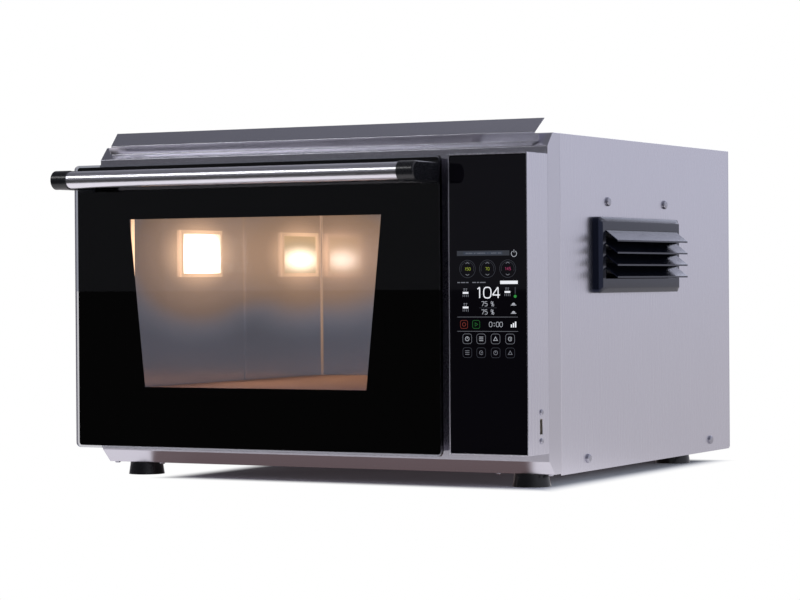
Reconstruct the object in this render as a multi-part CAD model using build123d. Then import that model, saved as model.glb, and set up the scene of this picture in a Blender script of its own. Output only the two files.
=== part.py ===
from build123d import *
import math
import os

# Countertop electric pizza oven with a drop-down glass door, a glass touch panel and a side fan.
# All lengths are millimetres.
# The model is drawn in the body's own frame: X to the right as seen from the front, with 0 at the
# middle of the body; Y to the back, with 0 at the front plate; Z up, with 0 at the underside of
# the body. settle() moves each finished piece so that the origin lies on the table, under the
# middle of the whole oven.

# Body shell
body_width = 450.0
body_depth = 420.0
body_height = 288.0
sheet = 1.0
tray_gauge = 1.2
rear_gauge = 1.2
frame_depth = 25.0
joggle_length = 12.0
cover_drop = 1.5
top_bevel_depth = 10.6
top_bevel_drop = 11.8
chin_depth = 11.7
chin_rise = 11.4
tray_flange = 22.0
tray_tongue_ahead = 12.0
tray_tongue_back = 10.0
rear_flange = 14.0

# Visor along the top front edge
visor_side_inset = 9.0
visor_flange = 5.6
visor_setback = 0.4
visor_lift = 7.4
visor_overhang = 3.6
visor_lean = 14.0
visor_rise = 12.0
visor_nose_trim = 3.0
visor_skirt_trim = 8.0
visor_slot_length = 15.0
visor_slot_height = 1.5
visor_slot_inset = 20.0

# Baking chamber
chamber_width = 300.0
chamber_depth = 350.0
chamber_floor = 44.0
chamber_ceiling = 246.0
mouth_sill = 60.0
mouth_head = 243.0
liner_flange = 6.0
seam_width = 3.0
seam_height = 0.6
seam_y = 199.0
seam_play = 0.3
fibre_gap = 0.3
side_fibre = 17.7
top_fibre = 25.0
rear_fibre = 24.7

# Baking stone and its rails
stone_thickness = 12.0
stone_base = 56.5
stone_side_gap = 3.0
stone_front_gap = 5.0
stone_rear_gap = 5.0
stone_edge = 1.5
rail_width = 12.0
rail_gauge = 1.0
rail_front_gap = 2.5

# Heating elements
heater_runs = 6
heater_pitch = 50.0
heater_bend = 20.0
heater_front = 25.0
heater_rear = 325.0
heater_tail = 39.0
top_tube = 8.0
bottom_tube = 6.5
top_heater_below_ceiling = 10.0
bottom_heater_above_floor = 7.0
clip_width = 10.0
clip_gauge = 1.0
clip_places = (95.0, 255.0)
bush_diameter = 13.0
bush_length = 12.0

# Temperature probes
probe_diameter = 4.0
probe_reach = 40.0
probe_tip = 1.6
top_probe_z = 214.0

# Chamber lamps, in the left wall
lamp_places = (118.0, 304.0)
lamp_z = 191.0
bezel_length = 72.0
bezel_height = 44.0
bezel_gauge = 2.5
bezel_border = 3.5
lens_gauge = 2.0
lens_rebate = 2.0
lens_play = 0.2
lamp_box_depth = 30.0
lamp_box_gauge = 0.8
holder_diameter = 18.0
holder_length = 14.0
bulb_diameter = 13.0
bulb_length = 34.0
bulb_tip = 5.8

# Door
door_width = 370.2
door_height = 253.7
door_bottom = 16.0
door_side_overhang = 1.0
door_standoff = 8.0
door_thickness = 32.5
glass_corner = 4.5
outer_glass = 4.0
frit_gauge = 0.4
frit_inset = 1.8
inner_glass = 4.0
pan_gauge = 1.2
pan_inset = 2.8
pan_low_inset = 4.6
pan_front_border = 18.0
pan_view_margin = 5.0
inner_glass_margin = 8.0
window_bottom = 55.0
window_height = 149.5
window_bottom_width = 224.8
window_top_width = 255.6
glass_clip_width = 14.0
glass_clip_gauge = 1.0
glass_clip_lip = 4.0
glass_clip_inset = 50.0
gasket_diameter = 7.7
gasket_offset = 7.0
gasket_corner = 12.0

# Door hinge
hinge_above_door_bottom = 11.6
hinge_before_pan_back = 1.0
hinge_spacing = 330.0
eye_thickness = 4.0
eye_radius = 7.0
eye_side_gap = 0.4
ear_thickness = 2.0
ear_radius = 5.5
ear_reach = 21.0
pin_diameter = 6.0
pin_play = 0.05
pin_head_diameter = 8.4
pin_head_length = 1.0
foot_plate_gauge = 2.0
foot_plate_width = 20.0
foot_plate_height = 28.0
notch_side_gap = 2.5
notch_gap = 1.5
notch_depth = 10.0

# Door arms, bent round the hinge axis
arm_radius = 60.0
arm_width = 6.0
arm_thickness = 3.0
arm_wall_gap = 2.3
arm_front_angle = 20.0
arm_back_angle = 99.0
arm_hook = 5.0
arm_hook_angle = 4.0
arm_pad_depth = 18.0
arm_pad_height = 22.0
arm_pad_setback = 4.0
arm_pad_overhang = 5.0
arm_spacer_diameter = 8.0
arm_spacer_inset = 5.0
arm_slot_gap = 1.0
guide_gauge = 4.0
guide_border = 5.0
guide_play = 0.5

# Handle
handle_diameter = 15.0
handle_wall = 1.5
handle_reach = 39.5
handle_below_top = 14.5
handle_left_inset = 6.8
handle_right_inset = 0.4
cap_width = 16.0
cap_diameter = 16.8
cap_seat = 10.0
cap_rounding = 1.5
leg_height = 16.4
leg_foot_overhang = 1.5
leg_foot_gauge = 3.0

# Control box with its glass panel
control_gap = 7.7
control_bottom = 18.6
control_height = 251.1
control_return = 4.5
control_glass_play = 0.2
control_glass_corner = 1.5
harness_width = 30.0
harness_bottom = 110.0
harness_top = 150.0
display_width = 56.0
display_height = 90.0
display_right_inset = 9.0
display_bottom = 98.7
display_border = 3.0
display_gauge = 5.0
board_gauge = 1.6
board_spacing = 3.5
panel_board_height = 150.0
panel_spacer_diameter = 4.0
chip_size = (20.0, 2.0, 20.0)
plug_strip_size = (44.0, 7.0, 10.0)
plug_strip_rise = 57.0
usb_y = -15.2
usb_z = 41.8
usb_width = 5.4
usb_height = 13.0
usb_depth = 18.0
usb_wall = 0.4
usb_play = 0.15
usb_screw_spacing = 24.0
usb_flange_gauge = 1.0
usb_mouth_setback = 0.3
usb_block = 4.0
usb_tongue_gauge = 1.6
usb_tongue_setback = 2.0
usb_tongue_border = 1.2
usb_screw_diameter = 3.0
usb_screw_length = 4.0
usb_screw_head = 5.0
usb_screw_head_height = 1.2

# Electronics bay
partition_gap = 1.8
partition_front = 36.0
partition_rear_gap = 20.0
partition_flange = 10.0
frame_play = 0.2
spacer_length = 8.0
spacer_diameter = 6.0
power_board_front = 62.0
power_board_length = 180.0
power_board_bottom = 40.0
power_board_height = 105.0
relay_size = (16.0, 20.0, 15.0)
relay_count = 4
relay_pitch = 26.0
parts_margin = 13.0
capacitor_diameter = 14.0
capacitor_length = 24.0
capacitor_count = 3
capacitor_pitch = 22.0
transformer_size = (30.0, 34.0, 32.0)
cutout_diameter = 16.0
cutout_length = 10.0
cutout_flange_length = 28.0
cutout_flange_height = 8.0
cutout_tab_size = (8.0, 0.8, 6.3)
cutout_y = 330.0
cutout_z = 190.0
terminal_size = (50.0, 22.0, 18.0)
terminal_y = 368.0
terminal_ways = 5
terminal_screw_hole = 5.0
terminal_screw_depth = 6.0
terminal_wire_hole = 4.0
terminal_wire_rise = 7.0
terminal_wire_depth = 8.0
sensor_size = (12.0, 7.0, 30.0)
sensor_below_head = 50.0
magnet_size = (10.0, 5.0, 24.0)

# Cooling fan behind the side vent
fan_z = 190.0
fan_from_wall = 42.0
fan_diameter = 46.0
fan_front = 106.0
fan_length = 158.0
fan_blades = 20
fan_blade_gauge = 0.8
fan_blade_chord = 9.0
fan_blade_angle = 28.0
fan_disc_gauge = 1.5
fan_shaft_diameter = 5.0
fan_shaft_play = 0.05
fan_end_gap = 2.0
scroll_gap = 5.0
scroll_gauge = 1.0
scroll_sweep = 150.0
motor_size = (38.0, 26.0, 42.0)
motor_gap = 3.0
motor_post_diameter = 5.0
coil_size = (28.0, 30.0, 11.0)
shaft_in_motor = 10.0
shaft_end_gap = 1.0

# Side vent
vent_front = 92.0
vent_length = 184.0
vent_bottom = 152.3
vent_height = 66.4
vent_proud = 8.0
vent_side_border = 11.0
vent_lower_border = 12.7
vent_upper_border = 11.7
vent_corner = 4.0
vent_bevel_height = 2.6
vent_bevel_angle = 58.0
vent_blade_count = 4
vent_blade_pitch = 10.6
vent_blade_gauge = 1.4
vent_blade_reach = 11.0
vent_blade_root = 5.0
vent_blade_drop = 8.5
vent_spigot = 6.0
vent_wall = 2.0

# Power inlet
inlet_x = 180.0
inlet_z = 60.0
inlet_flange_width = 50.0
inlet_flange_height = 31.0
inlet_flange = 3.0
inlet_body_width = 31.0
inlet_body_height = 23.6
inlet_body_depth = 25.0
inlet_recess_width = 27.0
inlet_recess_height = 19.6
inlet_recess_depth = 18.0
inlet_pin_pitch = 9.0
inlet_pin_width = 6.0
inlet_pin_gauge = 2.0
inlet_pin_length = 15.0
inlet_pin_drop = 2.5
inlet_play = 0.2
inlet_screw_spacing = 40.0

# Rear panel slots
slot_rows = (70.0, 225.0)
slot_count = 16
slot_pitch = 16.0
slot_width = 3.0
slot_height = 36.0
slot_centre_x = -40.0

# Feet
foot_height = 11.6
foot_top_diameter = 29.5
foot_bottom_diameter = 33.0
foot_x = 195.5
front_foot_y = 28.0
rear_foot_y = 345.0
foot_counterbore = 6.0
foot_counterbore_diameter = 12.0

# Screws and rivets
hole_play = 0.15
dome_share = 0.7
cut_over = 1.0
side_screw_diameter = 4.0
side_screw_length = 6.0
side_screw_head = 8.0
side_screw_head_height = 2.4
side_screw_z = 9.6
side_screw_places = (79.5, 367.3)
fan_screw_z = 232.3
fan_screw_places = (125.1, 255.2)
rear_screw_inset = 8.0
rear_screw_diameter = 3.5
rear_screw_length = 5.0
rear_screw_head = 7.0
rear_screw_head_height = 1.8
hinge_screw_diameter = 4.0
hinge_screw_length = 5.0
hinge_screw_head = 7.2
hinge_screw_head_height = 1.6
hinge_screw_spacing = 12.0
hinge_screw_below_top = 8.0
handle_screw_diameter = 5.0
handle_screw_length = 22.0
handle_screw_head = 8.0
handle_screw_head_height = 3.0
foot_screw_diameter = 5.0
foot_screw_length = 14.0
foot_screw_head = 10.0
foot_screw_head_height = 3.0
base_rivet_diameter = 3.2
base_rivet_head = 5.0
base_rivet_head_height = 1.5
base_rivet_y = 15.5
base_rivet_inboard = 25.0
base_rivet_outboard = 23.5

# Places worked out from the sizes above
half_width = body_width / 2
inside_half = half_width - sheet
cover_end = body_depth - rear_gauge
door_left = -half_width - door_side_overhang
door_right = door_left + door_width
door_centre = (door_left + door_right) / 2
door_top = door_bottom + door_height
door_back = -door_standoff
door_front = door_back - door_thickness
glass_back = door_front + outer_glass
pan_front = glass_back + frit_gauge
pan_left = door_left + pan_inset
pan_right = door_right - pan_inset
pan_bottom = door_bottom + pan_low_inset
pan_top = door_top - pan_inset
hinge_y = door_back - hinge_before_pan_back
hinge_z = door_bottom + hinge_above_door_bottom
hinge_places = (door_centre - hinge_spacing / 2, door_centre + hinge_spacing / 2)
arm_outer = pan_left + pan_gauge + arm_wall_gap
arm_lefts = (arm_outer, 2 * door_centre - arm_outer - arm_thickness)
control_left = door_right + control_gap
control_top = control_bottom + control_height
control_middle = (control_left + half_width) / 2
chamber_left = door_centre - chamber_width / 2
chamber_right = door_centre + chamber_width / 2
liner_back = chamber_depth + sheet
stone_top = stone_base + stone_thickness
partition_x = pan_right + partition_gap - pan_gauge
handle_y = door_front - handle_reach
handle_z = door_top - handle_below_top
handle_left = door_left + handle_left_inset
handle_right = door_right - handle_right_inset
cap_middles = (handle_left + cap_width / 2, handle_right - cap_width / 2)
vent_opening_front = vent_front + vent_side_border
vent_opening_back = vent_front + vent_length - vent_side_border
vent_opening_bottom = vent_bottom + vent_lower_border
vent_opening_top = vent_bottom + vent_height - vent_upper_border
fan_x = half_width - fan_from_wall
fan_back = fan_front + fan_length
front_reach = handle_y - cap_diameter / 2
rear_reach = body_depth + inlet_flange + rear_screw_head_height
left_reach = -half_width - side_screw_head_height
right_reach = half_width + vent_proud + vent_blade_reach


# Drawing helpers

def block(x0, x1, y0, y1, z0, z1):
    """Box between two opposite corners."""
    middle = Pos((x0 + x1) / 2, (y0 + y1) / 2, (z0 + z1) / 2)
    return middle * Box(x1 - x0, y1 - y0, z1 - z0)


def bar(start, direction, diameter, length):
    """Round bar from a point along a direction."""
    turned = Plane(origin=start, z_dir=direction)
    return turned * Pos(0, 0, length / 2) * Cylinder(diameter / 2, length)


def side_profile(points, x0, x1):
    """Solid with a closed outline of (Y, Z) points, from x0 to x1."""
    outline = Plane.YZ.offset(x0) * Polygon(*points, align=None)
    return extrude(outline, x1 - x0, dir=(1, 0, 0))


def front_profile(points, y0, y1):
    """Solid with a closed outline of (X, Z) points, from y0 to y1."""
    outline = Plane.XZ.offset(-y0) * Polygon(*points, align=None)
    return extrude(outline, y1 - y0, dir=(0, 1, 0))


def group(pieces):
    """Separate solids of one node."""
    return Compound([solid for piece in pieces for solid in piece.solids()])


def screw(start, direction, diameter, length, head, head_height):
    """Dome-headed screw: the head stands out from the start point, the shank points away."""
    turned = Plane(origin=start, z_dir=direction)
    dome = Pos(0, 0, head_height / 2) * Cylinder(head / 2, head_height)
    dome = fillet(dome.edges().group_by(Axis.Z)[-1], head_height * dome_share)
    shank = Pos(0, 0, -length / 2) * Cylinder(diameter / 2, length)
    return turned * (dome + shank)


def drill(piece, starts, direction, diameter, length):
    """Piece with a clearance hole of the given length both ways at each start point."""
    for start in starts:
        back = Vector(*start) - Vector(*direction) * length
        piece = piece - bar(back, direction, diameter + 2 * hole_play, 2 * length)
    return piece


def rounded_pane(x0, x1, y0, y1, z0, z1, corner):
    """Flat glass pane across Y with rounded corners."""
    outline = RectangleRounded(x1 - x0, z1 - z0, corner)
    placed = Plane.XZ.offset(-y0) * Pos((x0 + x1) / 2, (z0 + z1) / 2) * outline
    return extrude(placed, y1 - y0, dir=(0, 1, 0))


# Fastener places, shared by the pieces that they join

def side_screw_starts(side):
    """Points on the cover's side where the tray screws sit."""
    return [(side * half_width, y, side_screw_z) for y in side_screw_places]


def fan_screw_starts():
    """Points on the cover's right side where the fan housing's screws sit."""
    return [(half_width, y, fan_screw_z) for y in fan_screw_places]


def rear_screw_starts():
    """Points on the rear panel near its corners and mid-sides."""
    edge = half_width - rear_screw_inset
    low = rear_screw_inset
    high = body_height - rear_screw_inset
    corners = [(x, body_depth, z) for x in (-edge, edge) for z in (low, high)]
    middles = [(0, body_depth, low), (0, body_depth, high)]
    return corners + middles


def inlet_screw_starts():
    """Points on the inlet's flange."""
    face = body_depth + inlet_flange
    return [(inlet_x + side * inlet_screw_spacing / 2, face, inlet_z) for side in (-1, 1)]


def base_rivet_starts():
    """Points under the front strip, in a pair beside each front foot."""
    places = (foot_x - base_rivet_inboard, foot_x + base_rivet_outboard)
    return [(side * x, base_rivet_y, 0) for side in (-1, 1) for x in places]


def foot_centres():
    """Points on the underside above the middle of each foot."""
    return [(x, y, 0) for x in (-foot_x, foot_x) for y in (front_foot_y, rear_foot_y)]


def hinge_screw_starts():
    """Points on the front of the hinge brackets' foot plates."""
    z = hinge_z + eye_radius + foot_plate_height / 2 - hinge_screw_below_top
    half = hinge_screw_spacing / 2
    return [(x + side * half, -foot_plate_gauge, z) for x in hinge_places for side in (-1, 1)]


def usb_screw_starts():
    """Points on the control box's right side above and below the service socket."""
    half = usb_screw_spacing / 2
    return [(half_width, usb_y, usb_z + side * half) for side in (-1, 1)]


# Body shell

def front_frame_outline():
    """Side outline of the front frame, taken back past the frame so that it can be trimmed."""
    back = frame_depth + 4 * sheet
    return [
        (0, chin_rise),
        (0, body_height - top_bevel_drop),
        (top_bevel_depth, body_height),
        (back, body_height),
        (back, 0),
        (chin_depth, 0),
    ]


def front_frame():
    """Folded front: face, bevels and side strips, with the openings for chamber and door arms."""
    outer = side_profile(front_frame_outline(), -half_width, half_width)
    face = offset(Polygon(*front_frame_outline(), align=None), -sheet, kind=Kind.INTERSECTION)
    inner = extrude(Plane.YZ.offset(-inside_half) * face, 2 * inside_half, dir=(1, 0, 0))
    shell = outer - inner - block(-half_width, half_width, frame_depth, body_depth, 0, body_height)
    joggle_back = frame_depth + joggle_length
    outer_ring = block(-inside_half, inside_half, frame_depth - joggle_length / 2, joggle_back,
                       tray_flange + 2, body_height - sheet)
    hollow = inside_half - sheet
    inner_ring = block(-hollow, hollow, 0, joggle_back, 0, body_height - 2 * sheet)
    frame = shell + (outer_ring - inner_ring)
    frame -= block(chamber_left, chamber_right, -cut_over, 2 * sheet, mouth_sill, mouth_head)
    for left in arm_lefts:
        frame -= arm_window(left, arm_slot_gap, -cut_over, 2 * sheet)
    half = harness_width / 2
    frame -= block(control_middle - half, control_middle + half, -cut_over, 2 * sheet,
                   harness_bottom, harness_top)
    frame = drill(frame, base_rivet_starts(), (0, 0, 1), base_rivet_diameter, 4 * sheet)
    frame = drill(frame, foot_centres(), (0, 0, 1), foot_screw_diameter, 4 * sheet)
    return drill(frame, hinge_screw_starts(), (0, 1, 0), hinge_screw_diameter, 5 * sheet)


def arm_window(left, gap, y0, y1):
    """Space that a door arm needs where it goes through a sheet between y0 and y1."""
    nearest = arm_radius - arm_width / 2
    farthest = arm_radius + arm_width / 2
    reach = max(abs(y0 - hinge_y), abs(y1 - hinge_y))
    low = hinge_z + math.sqrt(nearest ** 2 - reach ** 2) - gap
    high = hinge_z + farthest + gap
    return block(left - gap, left + arm_thickness + gap, y0, y1, low, high)


def base_tray():
    """Bottom sheet with side and rear flanges, and a tongue that laps the front frame."""
    tray = block(-inside_half, inside_half, frame_depth, cover_end - sheet, 0, tray_gauge)
    for side in (-1, 1):
        outer = side * inside_half
        inner = side * (inside_half - sheet)
        tray += block(min(outer, inner), max(outer, inner), frame_depth + joggle_length + 1,
                      cover_end - 2 * sheet, 0, tray_flange)
    tray += block(-inside_half, inside_half, cover_end - sheet, cover_end, 0, rear_flange)
    tray += block(-inside_half + 2, inside_half - 2, frame_depth - tray_tongue_ahead,
                  frame_depth + tray_tongue_back, sheet, sheet + tray_gauge)
    for side in (-1, 1):
        tray = drill(tray, side_screw_starts(side), (1, 0, 0), side_screw_diameter, side_screw_length)
    tray = drill(tray, rear_screw_starts(), (0, 1, 0), rear_screw_diameter, rear_screw_length)
    tray = drill(tray, base_rivet_starts(), (0, 0, 1), base_rivet_diameter, 4 * sheet)
    return drill(tray, foot_centres(), (0, 0, 1), foot_screw_diameter, 4 * sheet)


def outer_cover():
    """Wrap of one sheet over both sides and the top, turned in at the back."""
    wrap = block(-half_width, half_width, frame_depth, cover_end, -cover_drop, body_height)
    wrap -= block(-inside_half, inside_half, 0, cover_end - sheet, -cover_drop - 1,
                  body_height - sheet)
    opening = inside_half - rear_flange
    wrap -= block(-opening, opening, 0, body_depth, -cover_drop - 1, body_height - rear_flange)
    wrap -= block(-inside_half, inside_half, 0, body_depth, -cover_drop - 1, tray_flange)
    wrap -= block(0, half_width + 1, vent_opening_front - vent_wall, vent_opening_back + vent_wall,
                  vent_opening_bottom - vent_wall, vent_opening_top + vent_wall)
    for side in (-1, 1):
        wrap = drill(wrap, side_screw_starts(side), (1, 0, 0), side_screw_diameter, side_screw_length)
    wrap = drill(wrap, fan_screw_starts(), (1, 0, 0), side_screw_diameter, side_screw_length)
    return drill(wrap, rear_screw_starts(), (0, 1, 0), rear_screw_diameter, rear_screw_length)


def rear_panel():
    """Flat rear sheet with rows of air slots and the cut-out for the power inlet."""
    panel = block(-half_width, half_width, cover_end, body_depth, 0, body_height)
    slot = block(-slot_width / 2, slot_width / 2, cover_end - 1, body_depth + 1,
                 -slot_height / 2, slot_height / 2)
    first = slot_centre_x - slot_pitch * (slot_count - 1) / 2
    slots = [Pos(first + slot_pitch * number, 0, z) * slot
             for z in slot_rows for number in range(slot_count)]
    panel -= slots
    half = inlet_body_width / 2 + inlet_play
    rise = inlet_body_height / 2 + inlet_play
    panel -= block(inlet_x - half, inlet_x + half, cover_end - 1, body_depth + 1,
                   inlet_z - rise, inlet_z + rise)
    panel = drill(panel, rear_screw_starts(), (0, 1, 0), rear_screw_diameter, rear_screw_length)
    return drill(panel, inlet_screw_starts(), (0, 1, 0), rear_screw_diameter, 3 * inlet_flange)


def visor():
    """Bent strip on the top bevel: a flange, a short facet and a face that leans back."""
    slope = math.atan2(top_bevel_drop, top_bevel_depth)
    rise = (math.cos(slope), math.sin(slope))
    low = (visor_setback, body_height - top_bevel_drop + visor_setback * math.tan(slope))
    crease = (low[0] + visor_flange * rise[0], low[1] + visor_flange * rise[1])
    fold = (crease[0] - visor_overhang, crease[1] + visor_lift)
    tip = (fold[0] + visor_lean, fold[1] + visor_rise)
    path = Polyline(low, crease, fold, tip)
    strip = make_face(offset(path, sheet, side=Side.LEFT, kind=Kind.INTERSECTION).edges())
    end = half_width - visor_side_inset
    piece = extrude(Plane.YZ.offset(-end) * strip, 2 * end, dir=(1, 0, 0))
    for side in (-1, 1):
        corner = side * end
        nose = [(corner, fold[1] - sheet), (corner - side * visor_nose_trim, fold[1] - sheet),
                (corner, tip[1] + sheet)]
        skirt = [(corner, low[1] - sheet), (corner - side * visor_skirt_trim, low[1] - sheet),
                 (corner, crease[1] + sheet)]
        piece -= front_profile(nose, front_reach, body_depth)
        piece -= front_profile(skirt, front_reach, body_depth)
    slot_left = -end + visor_slot_inset
    slot_z = (crease[1] + fold[1]) / 2
    return piece - block(slot_left, slot_left + visor_slot_length, front_reach, crease[0],
                         slot_z - visor_slot_height / 2, slot_z + visor_slot_height / 2)


def feet():
    """Four tapered rubber feet, bored and counterbored for their screws."""
    pieces = []
    for x, y, z in foot_centres():
        foot = Cone(foot_bottom_diameter / 2, foot_top_diameter / 2, foot_height)
        foot = Pos(x, y, -foot_height / 2) * foot
        foot -= bar((x, y, -foot_height), (0, 0, 1), foot_screw_diameter + 2 * hole_play, foot_height)
        foot -= bar((x, y, -foot_height), (0, 0, 1), foot_counterbore_diameter, foot_counterbore)
        pieces.append(foot)
    return group(pieces)


def foot_screws():
    """Screws up through the feet into the tray."""
    seat = foot_counterbore - foot_height
    return group([screw((x, y, seat), (0, 0, -1), foot_screw_diameter, foot_screw_length,
                        foot_screw_head, foot_screw_head_height) for x, y, z in foot_centres()])


def side_screws():
    """Screws in both sides of the cover, and the two above the side vent."""
    pieces = []
    for side in (-1, 1):
        for start in side_screw_starts(side):
            pieces.append(side_screw(start, side))
    for start in fan_screw_starts():
        pieces.append(side_screw(start, 1))
    return group(pieces)


def side_screw(start, side):
    """One dome-headed screw across the body's side."""
    return screw(start, (side, 0, 0), side_screw_diameter, side_screw_length,
                 side_screw_head, side_screw_head_height)


def rear_screws():
    """Screws of the rear panel and of the power inlet."""
    starts = rear_screw_starts() + inlet_screw_starts()
    return group([screw(start, (0, 1, 0), rear_screw_diameter, rear_screw_length,
                        rear_screw_head, rear_screw_head_height) for start in starts])


def base_rivets():
    """Rivets that join the front frame's lower strip to the tray's tongue."""
    return group([screw(start, (0, 0, -1), base_rivet_diameter, sheet + tray_gauge,
                        base_rivet_head, base_rivet_head_height) for start in base_rivet_starts()])


# Baking chamber

def liner_box(inset):
    """Inner space of the chamber, made smaller all round by the inset."""
    return block(chamber_left + inset, chamber_right - inset, 0, chamber_depth - inset,
                 chamber_floor + inset, chamber_ceiling - inset)


def lamp_block(y, x0, x1, length, height):
    """Box across the left chamber wall, centred on a lamp."""
    return block(x0, x1, y - length / 2, y + length / 2, lamp_z - height / 2, lamp_z + height / 2)


def lens_length():
    """Length of the lamp glass, from the bezel's opening and the rebate."""
    return bezel_length - 2 * bezel_border + 2 * lens_rebate


def lens_height():
    """Height of the lamp glass, from the bezel's opening and the rebate."""
    return bezel_height - 2 * bezel_border + 2 * lens_rebate


def chamber_liner():
    """Folded inner box with a front flange, holes for lamps, heater tails and probes."""
    liner = block(chamber_left - sheet, chamber_right + sheet, sheet, liner_back,
                  chamber_floor - sheet, chamber_ceiling + sheet)
    rim = sheet + liner_flange
    liner += block(chamber_left - rim, chamber_right + rim, sheet, 2 * sheet,
                   chamber_floor - rim, chamber_ceiling + rim)
    liner -= liner_box(0)
    liner += block(chamber_left, chamber_left + seam_height, seam_y - seam_width / 2,
                   seam_y + seam_width / 2, chamber_floor, chamber_ceiling)
    for y in lamp_places:
        liner -= lamp_block(y, chamber_left - 2 * sheet, chamber_left + 1,
                            lens_length() + 2 * lens_play, lens_height() + 2 * lens_play)
    return pierce_rear(liner, 0)


def pierce_rear(piece, gap):
    """Piece with holes for the heater tails and probes that leave through the back."""
    start = chamber_depth - cut_over
    for x in heater_ends():
        for z, diameter in ((top_heater_z(), top_tube), (bottom_heater_z(), bottom_tube)):
            piece -= bar((x, start, z), (0, 1, 0), diameter + 2 * gap, heater_tail)
    for z in (top_probe_z, bottom_heater_z()):
        piece -= bar((door_centre, start, z), (0, 1, 0), probe_diameter + 2 * gap, heater_tail)
    return piece


def left_board():
    """Fibre board outside the left chamber wall, cut out round the lamp boxes."""
    inner = chamber_left - sheet - fibre_gap
    board = block(inner - side_fibre, inner, 2 * sheet + fibre_gap, chamber_depth,
                  chamber_floor, chamber_ceiling)
    for y in lamp_places:
        board -= lamp_block(y, inner - side_fibre - 1, inner + 1, bezel_length + 2 * fibre_gap,
                            bezel_height + 2 * fibre_gap)
    return board


def right_board():
    """Fibre board outside the right chamber wall."""
    inner = chamber_right + sheet + fibre_gap
    return block(inner, inner + side_fibre, 2 * sheet + fibre_gap, chamber_depth,
                 chamber_floor, chamber_ceiling)


def top_board():
    """Fibre board over the chamber, out to the side boards."""
    reach = sheet + fibre_gap + side_fibre
    low = chamber_ceiling + sheet + fibre_gap
    return block(chamber_left - reach, chamber_right + reach, 2 * sheet + fibre_gap,
                 liner_back, low, low + top_fibre)


def bottom_board():
    """Fibre board between the tray and the chamber floor."""
    low = sheet + tray_gauge + fibre_gap
    return block(chamber_left, chamber_right, chin_depth + sheet, chamber_depth,
                 low, chamber_floor - sheet - fibre_gap)


def rear_board():
    """Fibre board behind the chamber, pierced for the heater tails and probes."""
    low = liner_back + fibre_gap
    board = block(chamber_left, chamber_right, low, low + rear_fibre, chamber_floor, chamber_ceiling)
    return pierce_rear(board, fibre_gap)


def chamber_insulation():
    """The five fibre boards round the chamber."""
    return group([left_board(), right_board(), top_board(), bottom_board(), rear_board()])


def stone_rails():
    """Two angle rails along the side walls that carry the baking stone."""
    pieces = []
    for wall, inward in ((chamber_left, 1), (chamber_right, -1)):
        edge = wall + inward * rail_width
        skin = wall + inward * rail_gauge
        top = block(min(wall, edge), max(wall, edge), rail_front_gap, chamber_depth - rail_front_gap,
                    stone_base - rail_gauge, stone_base)
        leg = block(min(wall, skin), max(wall, skin), rail_front_gap, chamber_depth - rail_front_gap,
                    chamber_floor, stone_base)
        pieces.append(top + leg - seam_space())
    return group(pieces)


def seam_space():
    """Space left in the rail where the left wall's seam stands proud."""
    half = seam_width / 2 + seam_play
    return block(chamber_left - 1, chamber_left + seam_height + seam_play, seam_y - half,
                 seam_y + half, chamber_floor - 1, stone_base + 1)


def baking_stone():
    """Flat fired stone with eased upper edges."""
    stone = block(chamber_left + stone_side_gap, chamber_right - stone_side_gap, stone_front_gap,
                  chamber_depth - stone_rear_gap, stone_base, stone_top)
    return fillet(stone.edges().group_by(Axis.Z)[-1], stone_edge)


# Heating elements, probes and lamps

def top_heater_z():
    """Height of the upper element's centre line."""
    return chamber_ceiling - top_heater_below_ceiling


def bottom_heater_z():
    """Height of the lower element's centre line."""
    return chamber_floor + bottom_heater_above_floor


def heater_run_places():
    """X of each straight run, spread about the middle of the chamber."""
    first = door_centre - heater_pitch * (heater_runs - 1) / 2
    return [first + heater_pitch * number for number in range(heater_runs)]


def heater_ends():
    """X of the two runs that leave through the back."""
    places = heater_run_places()
    return (places[0], places[-1])


def heater(z, diameter):
    """Tube bent to and fro in a level plane, with both tails through the back wall."""
    tail = chamber_depth + heater_tail
    points = [(heater_ends()[0], tail)]
    for number, x in enumerate(heater_run_places()):
        near_first = number % 2 == 0
        if number > 0:
            points.append((x, heater_rear if near_first else heater_front))
        points.append((x, heater_front if near_first else heater_rear))
    points[-1] = (heater_ends()[1], tail)
    route = FilletPolyline(*points, radius=heater_bend)
    section = Plane(origin=(points[0][0], tail, 0), z_dir=(0, -1, 0)) * Circle(diameter / 2)
    return Pos(0, 0, z) * sweep(section, path=route.wires()[0])


def top_heater():
    """Upper element."""
    return heater(top_heater_z(), top_tube)


def bottom_heater():
    """Lower element, under the stone."""
    return heater(bottom_heater_z(), bottom_tube)


def heater_clips():
    """Cross straps on posts that hold both elements off the ceiling and the floor."""
    pieces = []
    runs = heater_run_places()
    posts = [(runs[number] + runs[number + 1]) / 2 for number in (0, heater_runs - 2)]
    under_top = top_heater_z() - top_tube / 2
    under_bottom = bottom_heater_z() - bottom_tube / 2
    for y in clip_places:
        near = y - clip_width / 2
        far = y + clip_width / 2
        for low, high, wall in ((under_top - clip_gauge, under_top, chamber_ceiling),
                                (under_bottom - clip_gauge, under_bottom, chamber_floor)):
            strap = block(runs[0] - top_tube, runs[-1] + top_tube, near, far, low, high)
            for x in posts:
                strap += block(x - clip_gauge, x + clip_gauge, near, far, min(wall, low), max(wall, high))
            pieces.append(strap)
    return group(pieces)


def heater_bushes():
    """Ceramic bushes round the elements' tails behind the rear fibre board."""
    pieces = []
    start = liner_back + 2 * fibre_gap + rear_fibre
    for x in heater_ends():
        for z, diameter in ((top_heater_z(), top_tube), (bottom_heater_z(), bottom_tube)):
            bush = bar((x, start, z), (0, 1, 0), bush_diameter, bush_length)
            pieces.append(bush - bar((x, start, z), (0, 1, 0), diameter, bush_length))
    return group(pieces)


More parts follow.
